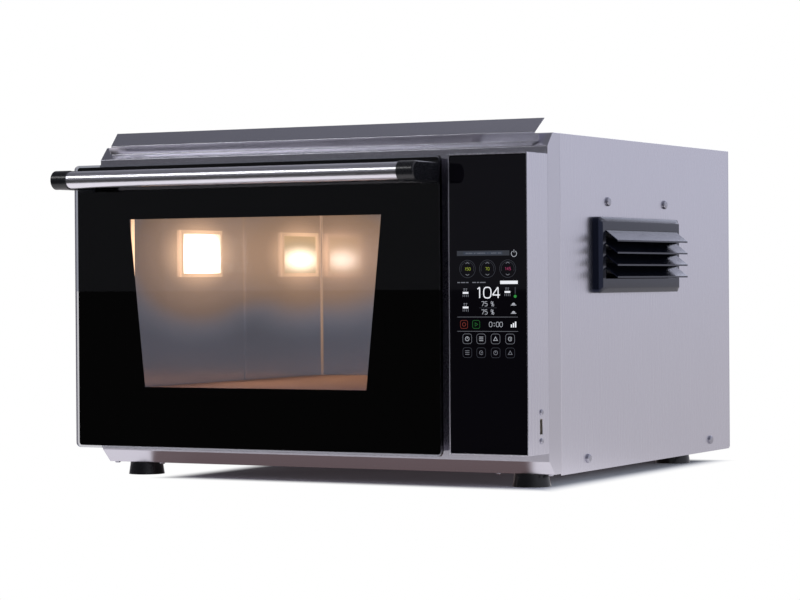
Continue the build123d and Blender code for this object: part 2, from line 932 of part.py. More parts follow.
def temperature_probes():
    """Two straight probes through the back wall, over and under the stone."""
    start = chamber_depth - probe_reach
    length = probe_reach + heater_tail
    pieces = []
    for z in (top_probe_z, bottom_heater_z()):
        rod = bar((door_centre, start, z), (0, 1, 0), probe_diameter, length)
        pieces.append(fillet(rod.edges().group_by(Axis.Y)[0], probe_tip))
    return group(pieces)


def lamp_bezels():
    """Steel frames that hold the lamp glasses to the left wall."""
    pieces = []
    for y in lamp_places:
        bezel = lamp_block(y, chamber_left, chamber_left + bezel_gauge, bezel_length, bezel_height)
        bezel -= lamp_block(y, chamber_left - 1, chamber_left + bezel_gauge + 1,
                            bezel_length - 2 * bezel_border, bezel_height - 2 * bezel_border)
        bezel -= lamp_block(y, chamber_left - 1, chamber_left + lens_gauge - sheet,
                            lens_length() + 2 * lens_play, lens_height() + 2 * lens_play)
        pieces.append(bezel)
    return group(pieces)


def lamp_glasses():
    """Panes in the left wall, each seated in its bezel's rebate."""
    front = chamber_left - sheet + lens_gauge
    return group([lamp_block(y, front - lens_gauge, front, lens_length(), lens_height())
                  for y in lamp_places])


def lamp_boxes():
    """Sheet boxes behind the left wall, open towards the glass."""
    pieces = []
    back = chamber_left - sheet
    for y in lamp_places:
        box = lamp_block(y, back - lamp_box_depth, back, bezel_length, bezel_height)
        box -= lamp_block(y, back - lamp_box_depth + lamp_box_gauge, back + 1,
                          bezel_length - 2 * lamp_box_gauge, bezel_height - 2 * lamp_box_gauge)
        pieces.append(box)
    return group(pieces)


def holder_start(y):
    """Point where a lamp holder stands on its box's end wall."""
    x = chamber_left - sheet - lamp_box_depth / 2
    return (x, y - bezel_length / 2 + lamp_box_gauge, lamp_z)


def lamp_holders():
    """Ceramic holders on the end walls of the lamp boxes."""
    return group([bar(holder_start(y), (0, 1, 0), holder_diameter, holder_length)
                  for y in lamp_places])


def lamp_bulbs():
    """Glass capsules that stand in the holders, along the wall."""
    pieces = []
    for y in lamp_places:
        x, near, z = holder_start(y)
        bulb = bar((x, near + holder_length, z), (0, 1, 0), bulb_diameter, bulb_length)
        pieces.append(fillet(bulb.edges().group_by(Axis.Y)[-1], bulb_tip))
    return group(pieces)


# Door

def door_gasket():
    """Round seal round the chamber mouth, on the front plate."""
    x0 = chamber_left - gasket_offset
    x1 = chamber_right + gasket_offset
    z0 = mouth_sill - gasket_offset
    z1 = mouth_head + gasket_offset
    loop = RectangleRounded(x1 - x0, z1 - z0, gasket_corner)
    loop = Plane.XZ.offset(gasket_diameter / 2) * Pos((x0 + x1) / 2, (z0 + z1) / 2) * loop
    start = ((x0 + x1) / 2, -gasket_diameter / 2, z0)
    section = Plane(origin=start, z_dir=(1, 0, 0)) * Circle(gasket_diameter / 2)
    return sweep(section, path=loop.wires()[0])


def handle_screw_starts(y):
    """Points at depth y on the axes of the two handle screws."""
    return [(x, y, handle_z) for x in cap_middles]


def door_outer_glass():
    """Full front pane with rounded corners and two holes for the handle."""
    pane = rounded_pane(door_left, door_right, door_front, glass_back, door_bottom, door_top,
                        glass_corner)
    return drill(pane, handle_screw_starts(glass_back), (0, 1, 0), handle_screw_diameter,
                 2 * outer_glass)


def window_outline():
    """Corners of the clear window, wider at its top."""
    low = door_bottom + window_bottom
    high = low + window_height
    return [
        (door_centre - window_top_width / 2, high),
        (door_centre + window_top_width / 2, high),
        (door_centre + window_bottom_width / 2, low),
        (door_centre - window_bottom_width / 2, low),
    ]


def door_frit():
    """Black border baked on the back of the front pane, clear at the window."""
    layer = rounded_pane(door_left + frit_inset, door_right - frit_inset, glass_back, pan_front,
                         door_bottom + frit_inset, door_top - frit_inset, glass_corner - frit_inset)
    layer -= front_profile(window_outline(), glass_back - 1, pan_front + 1)
    return drill(layer, handle_screw_starts(pan_front), (0, 1, 0), handle_screw_diameter,
                 2 * frit_gauge)


def door_pan():
    """Folded door casing behind the front pane, with the hinge ears and notches."""
    pan = block(pan_left, pan_right, pan_front, door_back, pan_bottom, pan_top)
    pan -= block(pan_left + pan_gauge, pan_right - pan_gauge, pan_front + pan_gauge,
                 door_back - pan_gauge, pan_bottom + pan_gauge, pan_top - pan_gauge)
    pan -= block(pan_left + pan_front_border, pan_right - pan_front_border, pan_front - 1,
                 pan_front + 2 * pan_gauge, pan_bottom + pan_front_border, pan_top - pan_front_border)
    pan -= block(chamber_left + pan_view_margin, chamber_right - pan_view_margin,
                 door_back - 2 * pan_gauge, door_back + 1,
                 mouth_sill + pan_view_margin, mouth_head - pan_view_margin)
    for x in hinge_places:
        pan -= hinge_notch(x)
        pan += hinge_ears(x)
    for left in arm_lefts:
        pan -= arm_window(left, guide_play, door_back - 2 * pan_gauge, door_back + 1)
    return drill(pan, handle_screw_starts(pan_front), (0, 1, 0), handle_screw_diameter,
                 2 * pan_gauge)


def hinge_notch(x):
    """Corner space cut from the door casing round a hinge bracket."""
    half = foot_plate_width / 2 + notch_side_gap
    return block(x - half, x + half, door_back - notch_depth, door_back + 1,
                 pan_bottom - 1, hinge_z + eye_radius + notch_gap)


def hinge_ears(x):
    """Two ears on the door casing that hold a hinge pin."""
    pieces = Part()
    for side in (-1, 1):
        near = x + side * (eye_thickness / 2 + eye_side_gap)
        far = near + side * ear_thickness
        base = [(hinge_y - ear_reach, pan_bottom), (hinge_y - ear_reach, hinge_z + ear_radius),
                (hinge_y, hinge_z + ear_radius), (hinge_y, hinge_z - ear_radius),
                (door_back - notch_depth - 1, pan_bottom)]
        ear = side_profile(base, min(near, far), max(near, far))
        ear += bar((min(near, far), hinge_y, hinge_z), (1, 0, 0), 2 * ear_radius, ear_thickness)
        ear -= bar((min(near, far) - 1, hinge_y, hinge_z), (1, 0, 0), pin_diameter, ear_thickness + 2)
        pieces += ear
    return pieces


def hinge_pins():
    """Headed pins through the door's ears and the fixed eyes."""
    pieces = []
    half = eye_thickness / 2 + eye_side_gap + ear_thickness
    for x in hinge_places:
        pin = bar((x - half, hinge_y, hinge_z), (1, 0, 0), pin_diameter, 2 * half)
        for start in (x - half - pin_head_length, x + half):
            pin += bar((start, hinge_y, hinge_z), (1, 0, 0), pin_head_diameter, pin_head_length)
        pieces.append(pin)
    return group(pieces)


def hinge_brackets():
    """Fixed eyes on foot plates, screwed to the front plate."""
    pieces = []
    half = eye_thickness / 2
    foot_low = hinge_z - foot_plate_height / 2 + eye_radius
    for x in hinge_places:
        web = block(x - half, x + half, hinge_y, 0, hinge_z - eye_radius, hinge_z + eye_radius)
        web += bar((x - half, hinge_y, hinge_z), (1, 0, 0), 2 * eye_radius, eye_thickness)
        foot = block(x - foot_plate_width / 2, x + foot_plate_width / 2, -foot_plate_gauge, 0,
                     foot_low, foot_low + foot_plate_height)
        bracket = web + foot
        bracket -= bar((x - half - 1, hinge_y, hinge_z), (1, 0, 0), pin_diameter + 2 * pin_play,
                       eye_thickness + 2)
        pieces.append(drill(bracket, hinge_screw_starts(), (0, 1, 0), hinge_screw_diameter,
                            2 * foot_plate_gauge))
    return group(pieces)


def hinge_screws():
    """Screws that hold the hinge brackets to the front plate."""
    return group([screw(start, (0, -1, 0), hinge_screw_diameter, hinge_screw_length,
                        hinge_screw_head, hinge_screw_head_height)
                  for start in hinge_screw_starts()])


def arc_strip(left, inner, outer, start, end):
    """Strip bent round the hinge axis; angles run from straight up towards the back."""
    middle = Pos(left + arm_thickness / 2, (inner + outer) / 2)
    section = Plane.XZ * middle * Rectangle(arm_thickness, outer - inner)
    bent = revolve(section, Axis((0, 0, 0), (-1, 0, 0)), end - start)
    return Pos(0, hinge_y, hinge_z) * Rot(-start, 0, 0) * bent


def door_arms():
    """Curved arms fixed inside the door, with a stop hook at the far end."""
    pieces = []
    inner = arm_radius - arm_width / 2
    outer = arm_radius + arm_width / 2
    for left, side in zip(arm_lefts, (-1, 1)):
        arm = arc_strip(left, inner, outer, -arm_front_angle, arm_back_angle)
        arm += arc_strip(left, outer - 1, outer + arm_hook, arm_back_angle - arm_hook_angle,
                         arm_back_angle)
        pad_back = hinge_y - arm_pad_setback
        pad_low = hinge_z + inner - arm_pad_overhang
        arm += block(left, left + arm_thickness, pad_back - arm_pad_depth, pad_back,
                     pad_low, pad_low + arm_pad_height)
        wall = pan_left + pan_gauge if side < 0 else left + arm_thickness
        for z in (pad_low + arm_spacer_inset, pad_low + arm_pad_height - arm_spacer_inset):
            arm += bar((wall, pad_back - arm_pad_depth / 2, z), (1, 0, 0), arm_spacer_diameter,
                       arm_wall_gap)
        pieces.append(arm)
    return group(pieces)


def arm_guides():
    """Slotted wear plates behind the front plate that the arms run through."""
    pieces = []
    for left in arm_lefts:
        window = arm_window(left, guide_play, sheet, sheet + guide_gauge)
        size = window.bounding_box()
        low = size.min.Z - guide_border
        high = size.max.Z + guide_border
        inner = size.min.X - 2
        outer = size.max.X + 2
        pieces.append(block(inner, outer, sheet, sheet + guide_gauge, low, high) - window)
    return group(pieces)


def door_inner_glass():
    """Inner pane, flat against the inside of the door casing's back."""
    back = door_back - pan_gauge
    margin = inner_glass_margin
    return block(chamber_left - margin, chamber_right + margin, back - inner_glass, back,
                 mouth_sill - margin, mouth_head + margin)


def glass_clips():
    """Step-shaped clips that hold the inner pane to the casing."""
    pieces = []
    back = door_back - pan_gauge
    front = back - inner_glass
    low = mouth_sill - inner_glass_margin
    high = mouth_head + inner_glass_margin
    half = glass_clip_width / 2
    for x in (chamber_left + glass_clip_inset, door_centre, chamber_right - glass_clip_inset):
        for edge, outward in ((low, -1), (high, 1)):
            outer = edge + outward * glass_clip_lip
            inner = edge - outward * glass_clip_lip
            post = block(x - half, x + half, front - glass_clip_gauge, back,
                         min(edge, outer), max(edge, outer))
            lip = block(x - half, x + half, front - glass_clip_gauge, front,
                        min(inner, outer), max(inner, outer))
            pieces.append(post + lip)
    return group(pieces)


def handle_bar():
    """Steel tube between the two end caps."""
    start = handle_left + cap_width - cap_seat
    length = handle_right - handle_left - 2 * (cap_width - cap_seat)
    tube = bar((start, handle_y, handle_z), (1, 0, 0), handle_diameter, length)
    return tube - bar((start, handle_y, handle_z), (1, 0, 0), handle_diameter - 2 * handle_wall, length)


def handle_end(middle, outward):
    """Moulded end cap: a round cup for the tube and a leg back to the door glass."""
    x0 = middle - cap_width / 2
    cup = bar((x0, handle_y, handle_z), (1, 0, 0), cap_diameter, cap_width)
    leg = block(x0, x0 + cap_width, handle_y, door_front, handle_z - leg_height / 2,
                handle_z + leg_height / 2)
    cap = cup + leg
    face = cap.faces().sort_by(Axis.X)[-1 if outward > 0 else 0]
    cap = fillet(face.edges(), cap_rounding)
    cap += block(x0, x0 + cap_width, door_front - leg_foot_gauge, door_front,
                 handle_z - leg_height / 2 - leg_foot_overhang,
                 handle_z + leg_height / 2 + leg_foot_overhang)
    seat = x0 if outward > 0 else x0 + cap_width - cap_seat
    cap -= bar((seat, handle_y, handle_z), (1, 0, 0), handle_diameter, cap_seat)
    shank = handle_screw_length - outer_glass - frit_gauge - pan_gauge
    tapped = bar((middle, door_front - shank - 1, handle_z), (0, 1, 0),
                 handle_screw_diameter + 2 * hole_play, shank + 2)
    return cap - tapped


def handle_end_left():
    """Left end cap."""
    return handle_end(cap_middles[0], -1)


def handle_end_right():
    """Right end cap."""
    return handle_end(cap_middles[1], 1)


def handle_screws():
    """Screws from inside the door, through the pane, into the end caps."""
    seat = pan_front + pan_gauge
    return group([screw(start, (0, 1, 0), handle_screw_diameter, handle_screw_length,
                        handle_screw_head, handle_screw_head_height)
                  for start in handle_screw_starts(seat)])


def door_magnet():
    """Magnet block in the door's upper right, for the door sensor."""
    width, depth, height = magnet_size
    x = chamber_right + sheet + side_fibre + 2 * fibre_gap
    z = mouth_head - sensor_below_head
    back = door_back - pan_gauge
    return block(x, x + width, back - depth, back, z - height / 2, z + height / 2)


def door_sensor():
    """Sealed contact behind the front plate, across from the door's magnet."""
    width, depth, height = sensor_size
    x = chamber_right + sheet + side_fibre + 2 * fibre_gap
    z = mouth_head - sensor_below_head
    return block(x, x + width, sheet, sheet + depth, z - height / 2, z + height / 2)


# Control box

def control_housing():
    """Steel box in front of the body's right end, open to the body, lipped for the glass."""
    housing = block(control_left, half_width, door_front, 0, control_bottom, control_top)
    housing -= block(control_left + sheet, inside_half, door_front - 1, glass_back,
                     control_bottom + sheet, control_top - sheet)
    housing -= block(control_left + sheet, inside_half, glass_back + sheet, -sheet,
                     control_bottom + sheet, control_top - sheet)
    lip = control_return
    housing -= block(control_left + lip, half_width - lip, glass_back - 1, 1,
                     control_bottom + lip, control_top - lip)
    half_y = usb_width / 2 + usb_play
    half_z = usb_height / 2 + usb_play
    housing -= block(inside_half - cut_over, half_width + cut_over, usb_y - half_y, usb_y + half_y,
                     usb_z - half_z, usb_z + half_z)
    return drill(housing, usb_screw_starts(), (1, 0, 0), usb_screw_diameter, usb_screw_length)


def control_glass():
    """Glass panel that lies inside the front edges of the control box."""
    inset = sheet + control_glass_play
    return rounded_pane(control_left + inset, half_width - inset, door_front, glass_back,
                        control_bottom + inset, control_top - inset, control_glass_corner)


def display_corner():
    """Lower left corner of the lit area of the display, as X and Z."""
    return (half_width - display_right_inset - display_width, display_bottom)


def display_module():
    """Flat display bonded to the back of the glass."""
    x, z = display_corner()
    edge = display_border
    return block(x - edge, x + display_width + edge, glass_back, glass_back + display_gauge,
                 z - edge, z + display_height + edge)


def panel_board():
    """Circuit board behind the display, on four spacers."""
    x, z = display_corner()
    back = glass_back + display_gauge
    middle = z + display_height / 2
    board = block(x - 1, x + display_width + 1, back + board_spacing,
                  back + board_spacing + board_gauge,
                  middle - panel_board_height / 2, middle + panel_board_height / 2)
    inset = panel_spacer_diameter
    for spacer_x in (x + inset, x + display_width - inset):
        for spacer_z in (z + inset, z + display_height - inset):
            board += bar((spacer_x, back, spacer_z), (0, 1, 0), panel_spacer_diameter, board_spacing)
    chip_y = back + board_spacing + board_gauge
    centre_x = x + display_width / 2
    for (width, depth, height), rise in ((chip_size, 0), (plug_strip_size, plug_strip_rise)):
        low = middle + rise - height / 2
        board += block(centre_x - width / 2, centre_x + width / 2, chip_y, chip_y + depth,
                       low, low + height)
    return board


def usb_socket():
    """Panel-mounted service socket: thin metal shell, tongue, block and flange."""
    half_y = usb_width / 2
    half_z = usb_height / 2
    mouth = half_width - usb_mouth_setback
    back = mouth - usb_depth
    floor = back + usb_block
    socket = block(back, mouth, usb_y - half_y, usb_y + half_y, usb_z - half_z, usb_z + half_z)
    reach = usb_screw_spacing / 2 + usb_screw_head
    socket += block(inside_half - usb_flange_gauge, inside_half, usb_y - usb_screw_head,
                    usb_y + usb_screw_head, usb_z - reach, usb_z + reach)
    socket -= block(floor, mouth + cut_over, usb_y - half_y + usb_wall, usb_y + half_y - usb_wall,
                    usb_z - half_z + usb_wall, usb_z + half_z - usb_wall)
    socket += block(floor, mouth - usb_tongue_setback, usb_y, usb_y + usb_tongue_gauge,
                    usb_z - half_z + usb_tongue_border, usb_z + half_z - usb_tongue_border)
    return drill(socket, usb_screw_starts(), (1, 0, 0), usb_screw_diameter, usb_screw_length)


def usb_screws():
    """Two small screws beside the service socket."""
    return group([screw(start, (1, 0, 0), usb_screw_diameter, usb_screw_length, usb_screw_head,
                        usb_screw_head_height) for start in usb_screw_starts()])


# Electronics bay

def partition_wall():
    """Upright sheet between the chamber's insulation and the electronics."""
    low = tray_gauge
    high = body_height - 2 * sheet - frame_play
    back = cover_end - partition_rear_gap
    wall = block(partition_x, partition_x + sheet, partition_front, back, low, high)
    for z0, z1 in ((low, low + sheet), (high - sheet, high)):
        wall += block(partition_x, partition_x + partition_flange, partition_front, back, z0, z1)
    return wall


def board_face():
    """X of the power board's face towards the bay."""
    return partition_x + sheet + spacer_length + board_gauge


def power_board():
    """Mains circuit board on spacers from the partition."""
    far = power_board_front + power_board_length
    top = power_board_bottom + power_board_height
    face = board_face()
    board = block(face - board_gauge, face, power_board_front, far, power_board_bottom, top)
    inset = spacer_diameter
    for y in (power_board_front + inset, far - inset):
        for z in (power_board_bottom + inset, top - inset):
            board += bar((partition_x + sheet, y, z), (1, 0, 0), spacer_diameter, spacer_length)
    return board


def board_parts():
    """Mains relays in a row, and the low-voltage supply's transformer and capacitors."""
    width, depth, height = relay_size
    pieces = []
    top = power_board_bottom + power_board_height - parts_margin
    for number in range(relay_count):
        y = power_board_front + parts_margin + relay_pitch * number
        pieces.append(block(board_face(), board_face() + width, y, y + depth, top - height, top))
    width, depth, height = transformer_size
    far = power_board_front + power_board_length
    z = power_board_bottom + parts_margin
    pieces.append(block(board_face(), board_face() + width, far - depth - parts_margin,
                        far - parts_margin, z, z + height))
    for number in range(capacitor_count):
        y = power_board_front + 2 * parts_margin + capacitor_pitch * number
        start = (board_face(), y, z + capacitor_diameter)
        pieces.append(bar(start, (1, 0, 0), capacitor_diameter, capacitor_length))
    return group(pieces)


def overheat_cutout():
    """Round thermal cut-out on the partition, with two blade terminals."""
    base = partition_x + sheet
    piece = bar((base, cutout_y, cutout_z), (1, 0, 0), cutout_diameter, cutout_length)
    half = cutout_flange_length / 2
    rise = cutout_flange_height / 2
    piece += block(base, base + sheet, cutout_y - half, cutout_y + half,
                   cutout_z - rise, cutout_z + rise)
    tab_length, tab_gauge, tab_width = cutout_tab_size
    start = base + cutout_length
    for side in (-1, 1):
        y = cutout_y + side * cutout_diameter / 4
        piece += block(start, start + tab_length, y - tab_gauge / 2, y + tab_gauge / 2,
                       cutout_z - tab_width / 2, cutout_z + tab_width / 2)
    return piece


def terminal_block():
    """Screw terminals on the tray for the incoming mains."""
    width, depth, height = terminal_size
    x0 = inlet_x - width / 2
    piece = block(x0, x0 + width, terminal_y, terminal_y + depth, tray_gauge, tray_gauge + height)
    screw_seat = tray_gauge + height - terminal_screw_depth
    for number in range(terminal_ways):
        x = x0 + width * (2 * number + 1) / (2 * terminal_ways)
        piece -= bar((x, terminal_y + depth / 2, screw_seat), (0, 0, 1), terminal_screw_hole, height)
        piece -= bar((x, terminal_y - cut_over, tray_gauge + terminal_wire_rise), (0, 1, 0),
                     terminal_wire_hole, terminal_wire_depth)
    return piece


# Cooling fan

def fan_impeller():
    """Long drum of thin raked blades between end discs and one middle disc."""
    radius = fan_diameter / 2
    disc = bar((0, 0, 0), (0, 1, 0), fan_diameter, fan_disc_gauge)
    bore = bar((0, -1, 0), (0, 1, 0), fan_shaft_diameter, fan_length + 2)
    drum = Part()
    for y in (0, (fan_length - fan_disc_gauge) / 2, fan_length - fan_disc_gauge):
        drum += Pos(0, y, 0) * disc
    blade = block(-fan_blade_gauge / 2, fan_blade_gauge / 2, 0, fan_length,
                  -fan_blade_chord / 2, fan_blade_chord / 2)
    blade = Pos(0, 0, radius - fan_blade_chord / 2 - fan_blade_gauge) * Rot(0, fan_blade_angle, 0) * blade
    drum += [Rot(0, 360 * number / fan_blades, 0) * blade for number in range(fan_blades)]
    return Pos(fan_x, fan_front, fan_z) * (drum - bore)


def fan_shaft():
    """Straight shaft through the drum and both end plates, into the motor."""
    start = fan_front - fan_end_gap - 2 * scroll_gauge
    end = fan_back + fan_end_gap + scroll_gauge + motor_gap + shaft_in_motor - shaft_end_gap
    return bar((fan_x, start, fan_z), (0, 1, 0), fan_shaft_diameter, end - start)


def fan_housing():
    """Sheet scroll round the drum with end plates, open below and towards the vent."""
    radius = fan_diameter / 2 + scroll_gap
    y0 = fan_front - fan_end_gap
    y1 = fan_back + fan_end_gap
    curl = Circle(radius + scroll_gauge) - Circle(radius)
    turns = [math.radians(90 + scroll_sweep * step / 4) for step in range(5)]
    rays = [(2 * radius * math.cos(turn), 2 * radius * math.sin(turn)) for turn in turns]
    curl = curl & Polygon((0, 0), *rays, align=None)
    wrap = extrude(Plane.XZ.offset(-y0) * Pos(fan_x, fan_z) * curl, y1 - y0, dir=(0, 1, 0))
    top = fan_z + radius
    wall = inside_half
    wrap += block(fan_x, wall, y0, y1, top, top + scroll_gauge)
    tab_high = fan_screw_z + side_screw_head / 2
    wrap += block(wall - scroll_gauge, wall, y0, y1, top, tab_high)
    for plate in (y0 - scroll_gauge, y1):
        end = block(fan_x - radius, wall - vent_spigot - scroll_gauge, plate, plate + scroll_gauge,
                    fan_z - radius, top + scroll_gauge)
        end += bar((fan_x, plate, fan_z), (0, 1, 0), 2 * radius + scroll_gauge, scroll_gauge)
        wrap += end
    bore = fan_shaft_diameter + 2 * fan_shaft_play
    wrap -= bar((fan_x, y0 - 2 * scroll_gauge, fan_z), (0, 1, 0), bore, y1 - y0 + 4 * scroll_gauge)
    return drill(wrap, fan_screw_starts(), (1, 0, 0), side_screw_diameter, side_screw_length)


def fan_motor():
    """Laminated motor on two posts from the rear end plate, with a sleeve round the shaft."""
    width, depth, height = motor_size
    plate = fan_back + fan_end_gap + scroll_gauge
    near = plate + motor_gap
    core = block(fan_x - width / 2, fan_x + width / 2, near, near + depth,
                 fan_z - height / 2, fan_z + height / 2)
    coil_width, coil_depth, coil_height = coil_size
    low = fan_z - height / 2 + motor_post_diameter
    core += block(fan_x - coil_width / 2, fan_x + coil_width / 2, near, near + coil_depth,
                  low, low + coil_height)
    core -= bar((fan_x, plate, fan_z), (0, 1, 0), fan_shaft_diameter + 2 * fan_shaft_play,
                motor_gap + shaft_in_motor)
    inset = motor_post_diameter / 2
    for z in (fan_z - height / 2 + inset, fan_z + height / 2 - inset):
        for x in (fan_x - width / 2 + inset, fan_x + width / 2 - inset):
            core += bar((x, plate, z), (0, 1, 0), motor_post_diameter, motor_gap)
    return core


# Side vent

def vent_housing():
    """Moulded frame on the cover's right side, with a spigot through the cover."""
    face = Pos(vent_front + vent_length / 2, vent_bottom + vent_height / 2)
    face *= RectangleRounded(vent_length, vent_height, vent_corner)
    step = half_width + vent_proud - vent_bevel_height
    outer = extrude(Plane.YZ.offset(half_width) * face, step - half_width, dir=(1, 0, 0))
    outer += extrude(Plane.YZ.offset(step) * face, vent_bevel_height, taper=vent_bevel_angle)
    outer += block(inside_half - vent_spigot, half_width, vent_opening_front - vent_wall + hole_play,
                   vent_opening_back + vent_wall - hole_play,
                   vent_opening_bottom - vent_wall + hole_play,
                   vent_opening_top + vent_wall - hole_play)
    return outer - block(0, half_width + 2 * vent_proud, vent_opening_front, vent_opening_back,
                         vent_opening_bottom, vent_opening_top)


def vent_blades():
    """Fixed slats that slope out and down across the vent's opening."""
    x0 = half_width + vent_proud - vent_blade_root
    x1 = half_width + vent_proud + vent_blade_reach
    fall = vent_blade_drop / vent_blade_reach
    drop = fall * (x1 - x0)
    pieces = []
    for number in range(vent_blade_count):
        edge = vent_opening_top - vent_blade_drop - vent_blade_pitch * number
        outline = [(x0, edge + drop), (x1, edge), (x1, edge - vent_blade_gauge),
                   (x0, edge + drop - vent_blade_gauge)]
        slat = front_profile(outline, vent_opening_front, vent_opening_back)
        pieces.append(slat & vent_reach_box())
    return group(pieces)


def vent_reach_box():
    """Space that the slats may fill: the vent's opening and straight out from it."""
    return block(half_width, half_width + vent_proud + vent_blade_reach, vent_opening_front,
                 vent_opening_back, vent_opening_bottom, vent_opening_top)


# Power inlet

def power_inlet():
    """Flanged appliance inlet in the rear panel, with its open recess."""
    half = inlet_flange_width / 2
    rise = inlet_flange_height / 2
    piece = block(inlet_x - half, inlet_x + half, body_depth, body_depth + inlet_flange,
                  inlet_z - rise, inlet_z + rise)
    half = inlet_body_width / 2
    rise = inlet_body_height / 2
    piece += block(inlet_x - half, inlet_x + half, body_depth - inlet_body_depth, body_depth,
                   inlet_z - rise, inlet_z + rise)
    half = inlet_recess_width / 2
    rise = inlet_recess_height / 2
    face = body_depth + inlet_flange
    piece -= block(inlet_x - half, inlet_x + half, face - inlet_recess_depth, face + 1,
                   inlet_z - rise, inlet_z + rise)
    return drill(piece, inlet_screw_starts(), (0, 1, 0), rear_screw_diameter, rear_screw_length)


def inlet_pins():
    """Three flat pins standing on the floor of the inlet's recess."""
    floor = body_depth + inlet_flange - inlet_recess_depth
    z = inlet_z - inlet_pin_drop
    pieces = []
    for number in (-1, 0, 1):
        x = inlet_x + number * inlet_pin_pitch
        half = inlet_pin_width / 2
        pieces.append(block(x - half, x + half, floor, floor + inlet_pin_length,
                            z - inlet_pin_gauge, z))
    return group(pieces)


# Every sub-part under the name of its file

MAKERS = [
    front_frame, base_tray, outer_cover, rear_panel, visor, feet, foot_screws, side_screws,
    rear_screws, base_rivets, chamber_liner, chamber_insulation, stone_rails, baking_stone,
    top_heater, bottom_heater,
    heater_clips, heater_bushes, temperature_probes, lamp_bezels, lamp_glasses, lamp_boxes,
    lamp_holders, lamp_bulbs, door_gasket, door_outer_glass, door_frit, door_pan, hinge_pins,
    hinge_brackets, hinge_screws, door_arms, arm_guides, door_inner_glass, glass_clips, handle_bar,
    handle_end_left, handle_end_right, handle_screws, door_magnet, door_sensor, control_housing,
    control_glass, display_module, panel_board, usb_socket, usb_screws, partition_wall,
    power_board, board_parts, overheat_cutout, terminal_block, fan_impeller,
    fan_shaft, fan_housing, fan_motor, vent_housing, vent_blades, power_inlet, inlet_pins,
]


def settle(shape):
    """Piece moved so that the origin is on the table under the middle of the whole oven."""
    shift_x = -(left_reach + right_reach) / 2
    shift_y = -(front_reach + rear_reach) / 2
    return Pos(shift_x, shift_y, foot_height) * shape


def main():
    """Write each sub-part to its own file."""
    os.makedirs("parts", exist_ok=True)
    for maker in MAKERS:
        export_step(settle(maker()), f"parts/{maker.__name__}.step")


main()
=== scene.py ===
"""Electric pizza oven: finishes, lit chamber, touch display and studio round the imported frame.

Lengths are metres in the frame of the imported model: X to the right, Y to the back, Z up.
"""
import math

import bmesh
import bpy
import numpy as np
from mathutils import Matrix, Vector


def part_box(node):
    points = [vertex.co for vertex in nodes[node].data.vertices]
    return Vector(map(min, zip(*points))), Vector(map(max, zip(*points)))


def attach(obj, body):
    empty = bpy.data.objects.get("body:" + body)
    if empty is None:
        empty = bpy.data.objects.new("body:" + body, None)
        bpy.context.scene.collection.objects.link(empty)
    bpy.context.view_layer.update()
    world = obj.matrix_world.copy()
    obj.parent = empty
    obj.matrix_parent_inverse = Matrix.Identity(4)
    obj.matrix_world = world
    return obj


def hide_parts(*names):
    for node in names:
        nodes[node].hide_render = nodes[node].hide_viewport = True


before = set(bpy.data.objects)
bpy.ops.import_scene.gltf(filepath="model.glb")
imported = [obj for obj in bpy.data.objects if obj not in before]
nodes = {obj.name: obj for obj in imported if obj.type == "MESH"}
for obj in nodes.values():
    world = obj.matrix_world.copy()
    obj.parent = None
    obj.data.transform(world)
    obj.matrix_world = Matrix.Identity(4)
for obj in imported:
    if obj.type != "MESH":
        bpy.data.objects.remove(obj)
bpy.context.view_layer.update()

MM = 0.001
scene = bpy.context.scene


# Camera: a long lens at the right front, a little above mid height

camera_place = (1.15336, -2.19685, 0.17639)
camera_yaw = math.radians(27.97)
camera_pitch = math.radians(-0.43)
camera_roll = math.radians(-0.39)
camera_lens = 119.94
sensor_width = 36.0


def add_camera():
    """Camera whose columns are right, up and backwards, turned by yaw, then pitch, then roll."""
    data = bpy.data.cameras.new("camera")
    data.lens = camera_lens
    data.sensor_fit = "HORIZONTAL"
    data.sensor_width = sensor_width
    data.clip_start = 0.05
    data.clip_end = 60.0
    ahead = Vector((-math.sin(camera_yaw) * math.cos(camera_pitch),
                    math.cos(camera_yaw) * math.cos(camera_pitch), math.sin(camera_pitch)))
    level = Vector((math.cos(camera_yaw), math.sin(camera_yaw), 0.0))
    upright = level.cross(ahead)
    right = level * math.cos(camera_roll) + upright * math.sin(camera_roll)
    up = -level * math.sin(camera_roll) + upright * math.cos(camera_roll)
    camera = bpy.data.objects.new("camera", data)
    turn = Matrix((right, up, -ahead)).transposed().to_4x4()
    camera.matrix_world = Matrix.Translation(camera_place) @ turn
    scene.collection.objects.link(camera)
    scene.camera = camera


# Shader nodes

# Places of a Mix node's colour sockets, which share their names with its number sockets
mix_share = 0
mix_first = 6
mix_second = 7
mixed = 2
# Nearly all of a noise pattern lies between these two values
noise_low = 0.3
noise_high = 0.7


def linear(code):
    """Linear RGBA of an sRGB hex colour."""
    parts = [int(code[place:place + 2], 16) / 255 for place in (1, 3, 5)]
    return tuple(c / 12.92 if c <= 0.04045 else ((c + 0.055) / 1.055) ** 2.4 for c in parts) + (1.0,)


def wire(node, sockets):
    """Give each named socket a value, or a link from a (node, output) pair."""
    for name, value in sockets.items():
        target = node.inputs[name]
        if isinstance(value, tuple) and isinstance(value[0], bpy.types.Node):
            node.id_data.links.new(value[0].outputs[value[1]], target)
        else:
            target.default_value = value


def add(tree, kind, sockets=None, **settings):
    """Add a shader node with its settings, values and links."""
    made = tree.nodes.new("ShaderNode" + kind)
    for name, value in settings.items():
        setattr(made, name, value)
    wire(made, sockets or {})
    return made


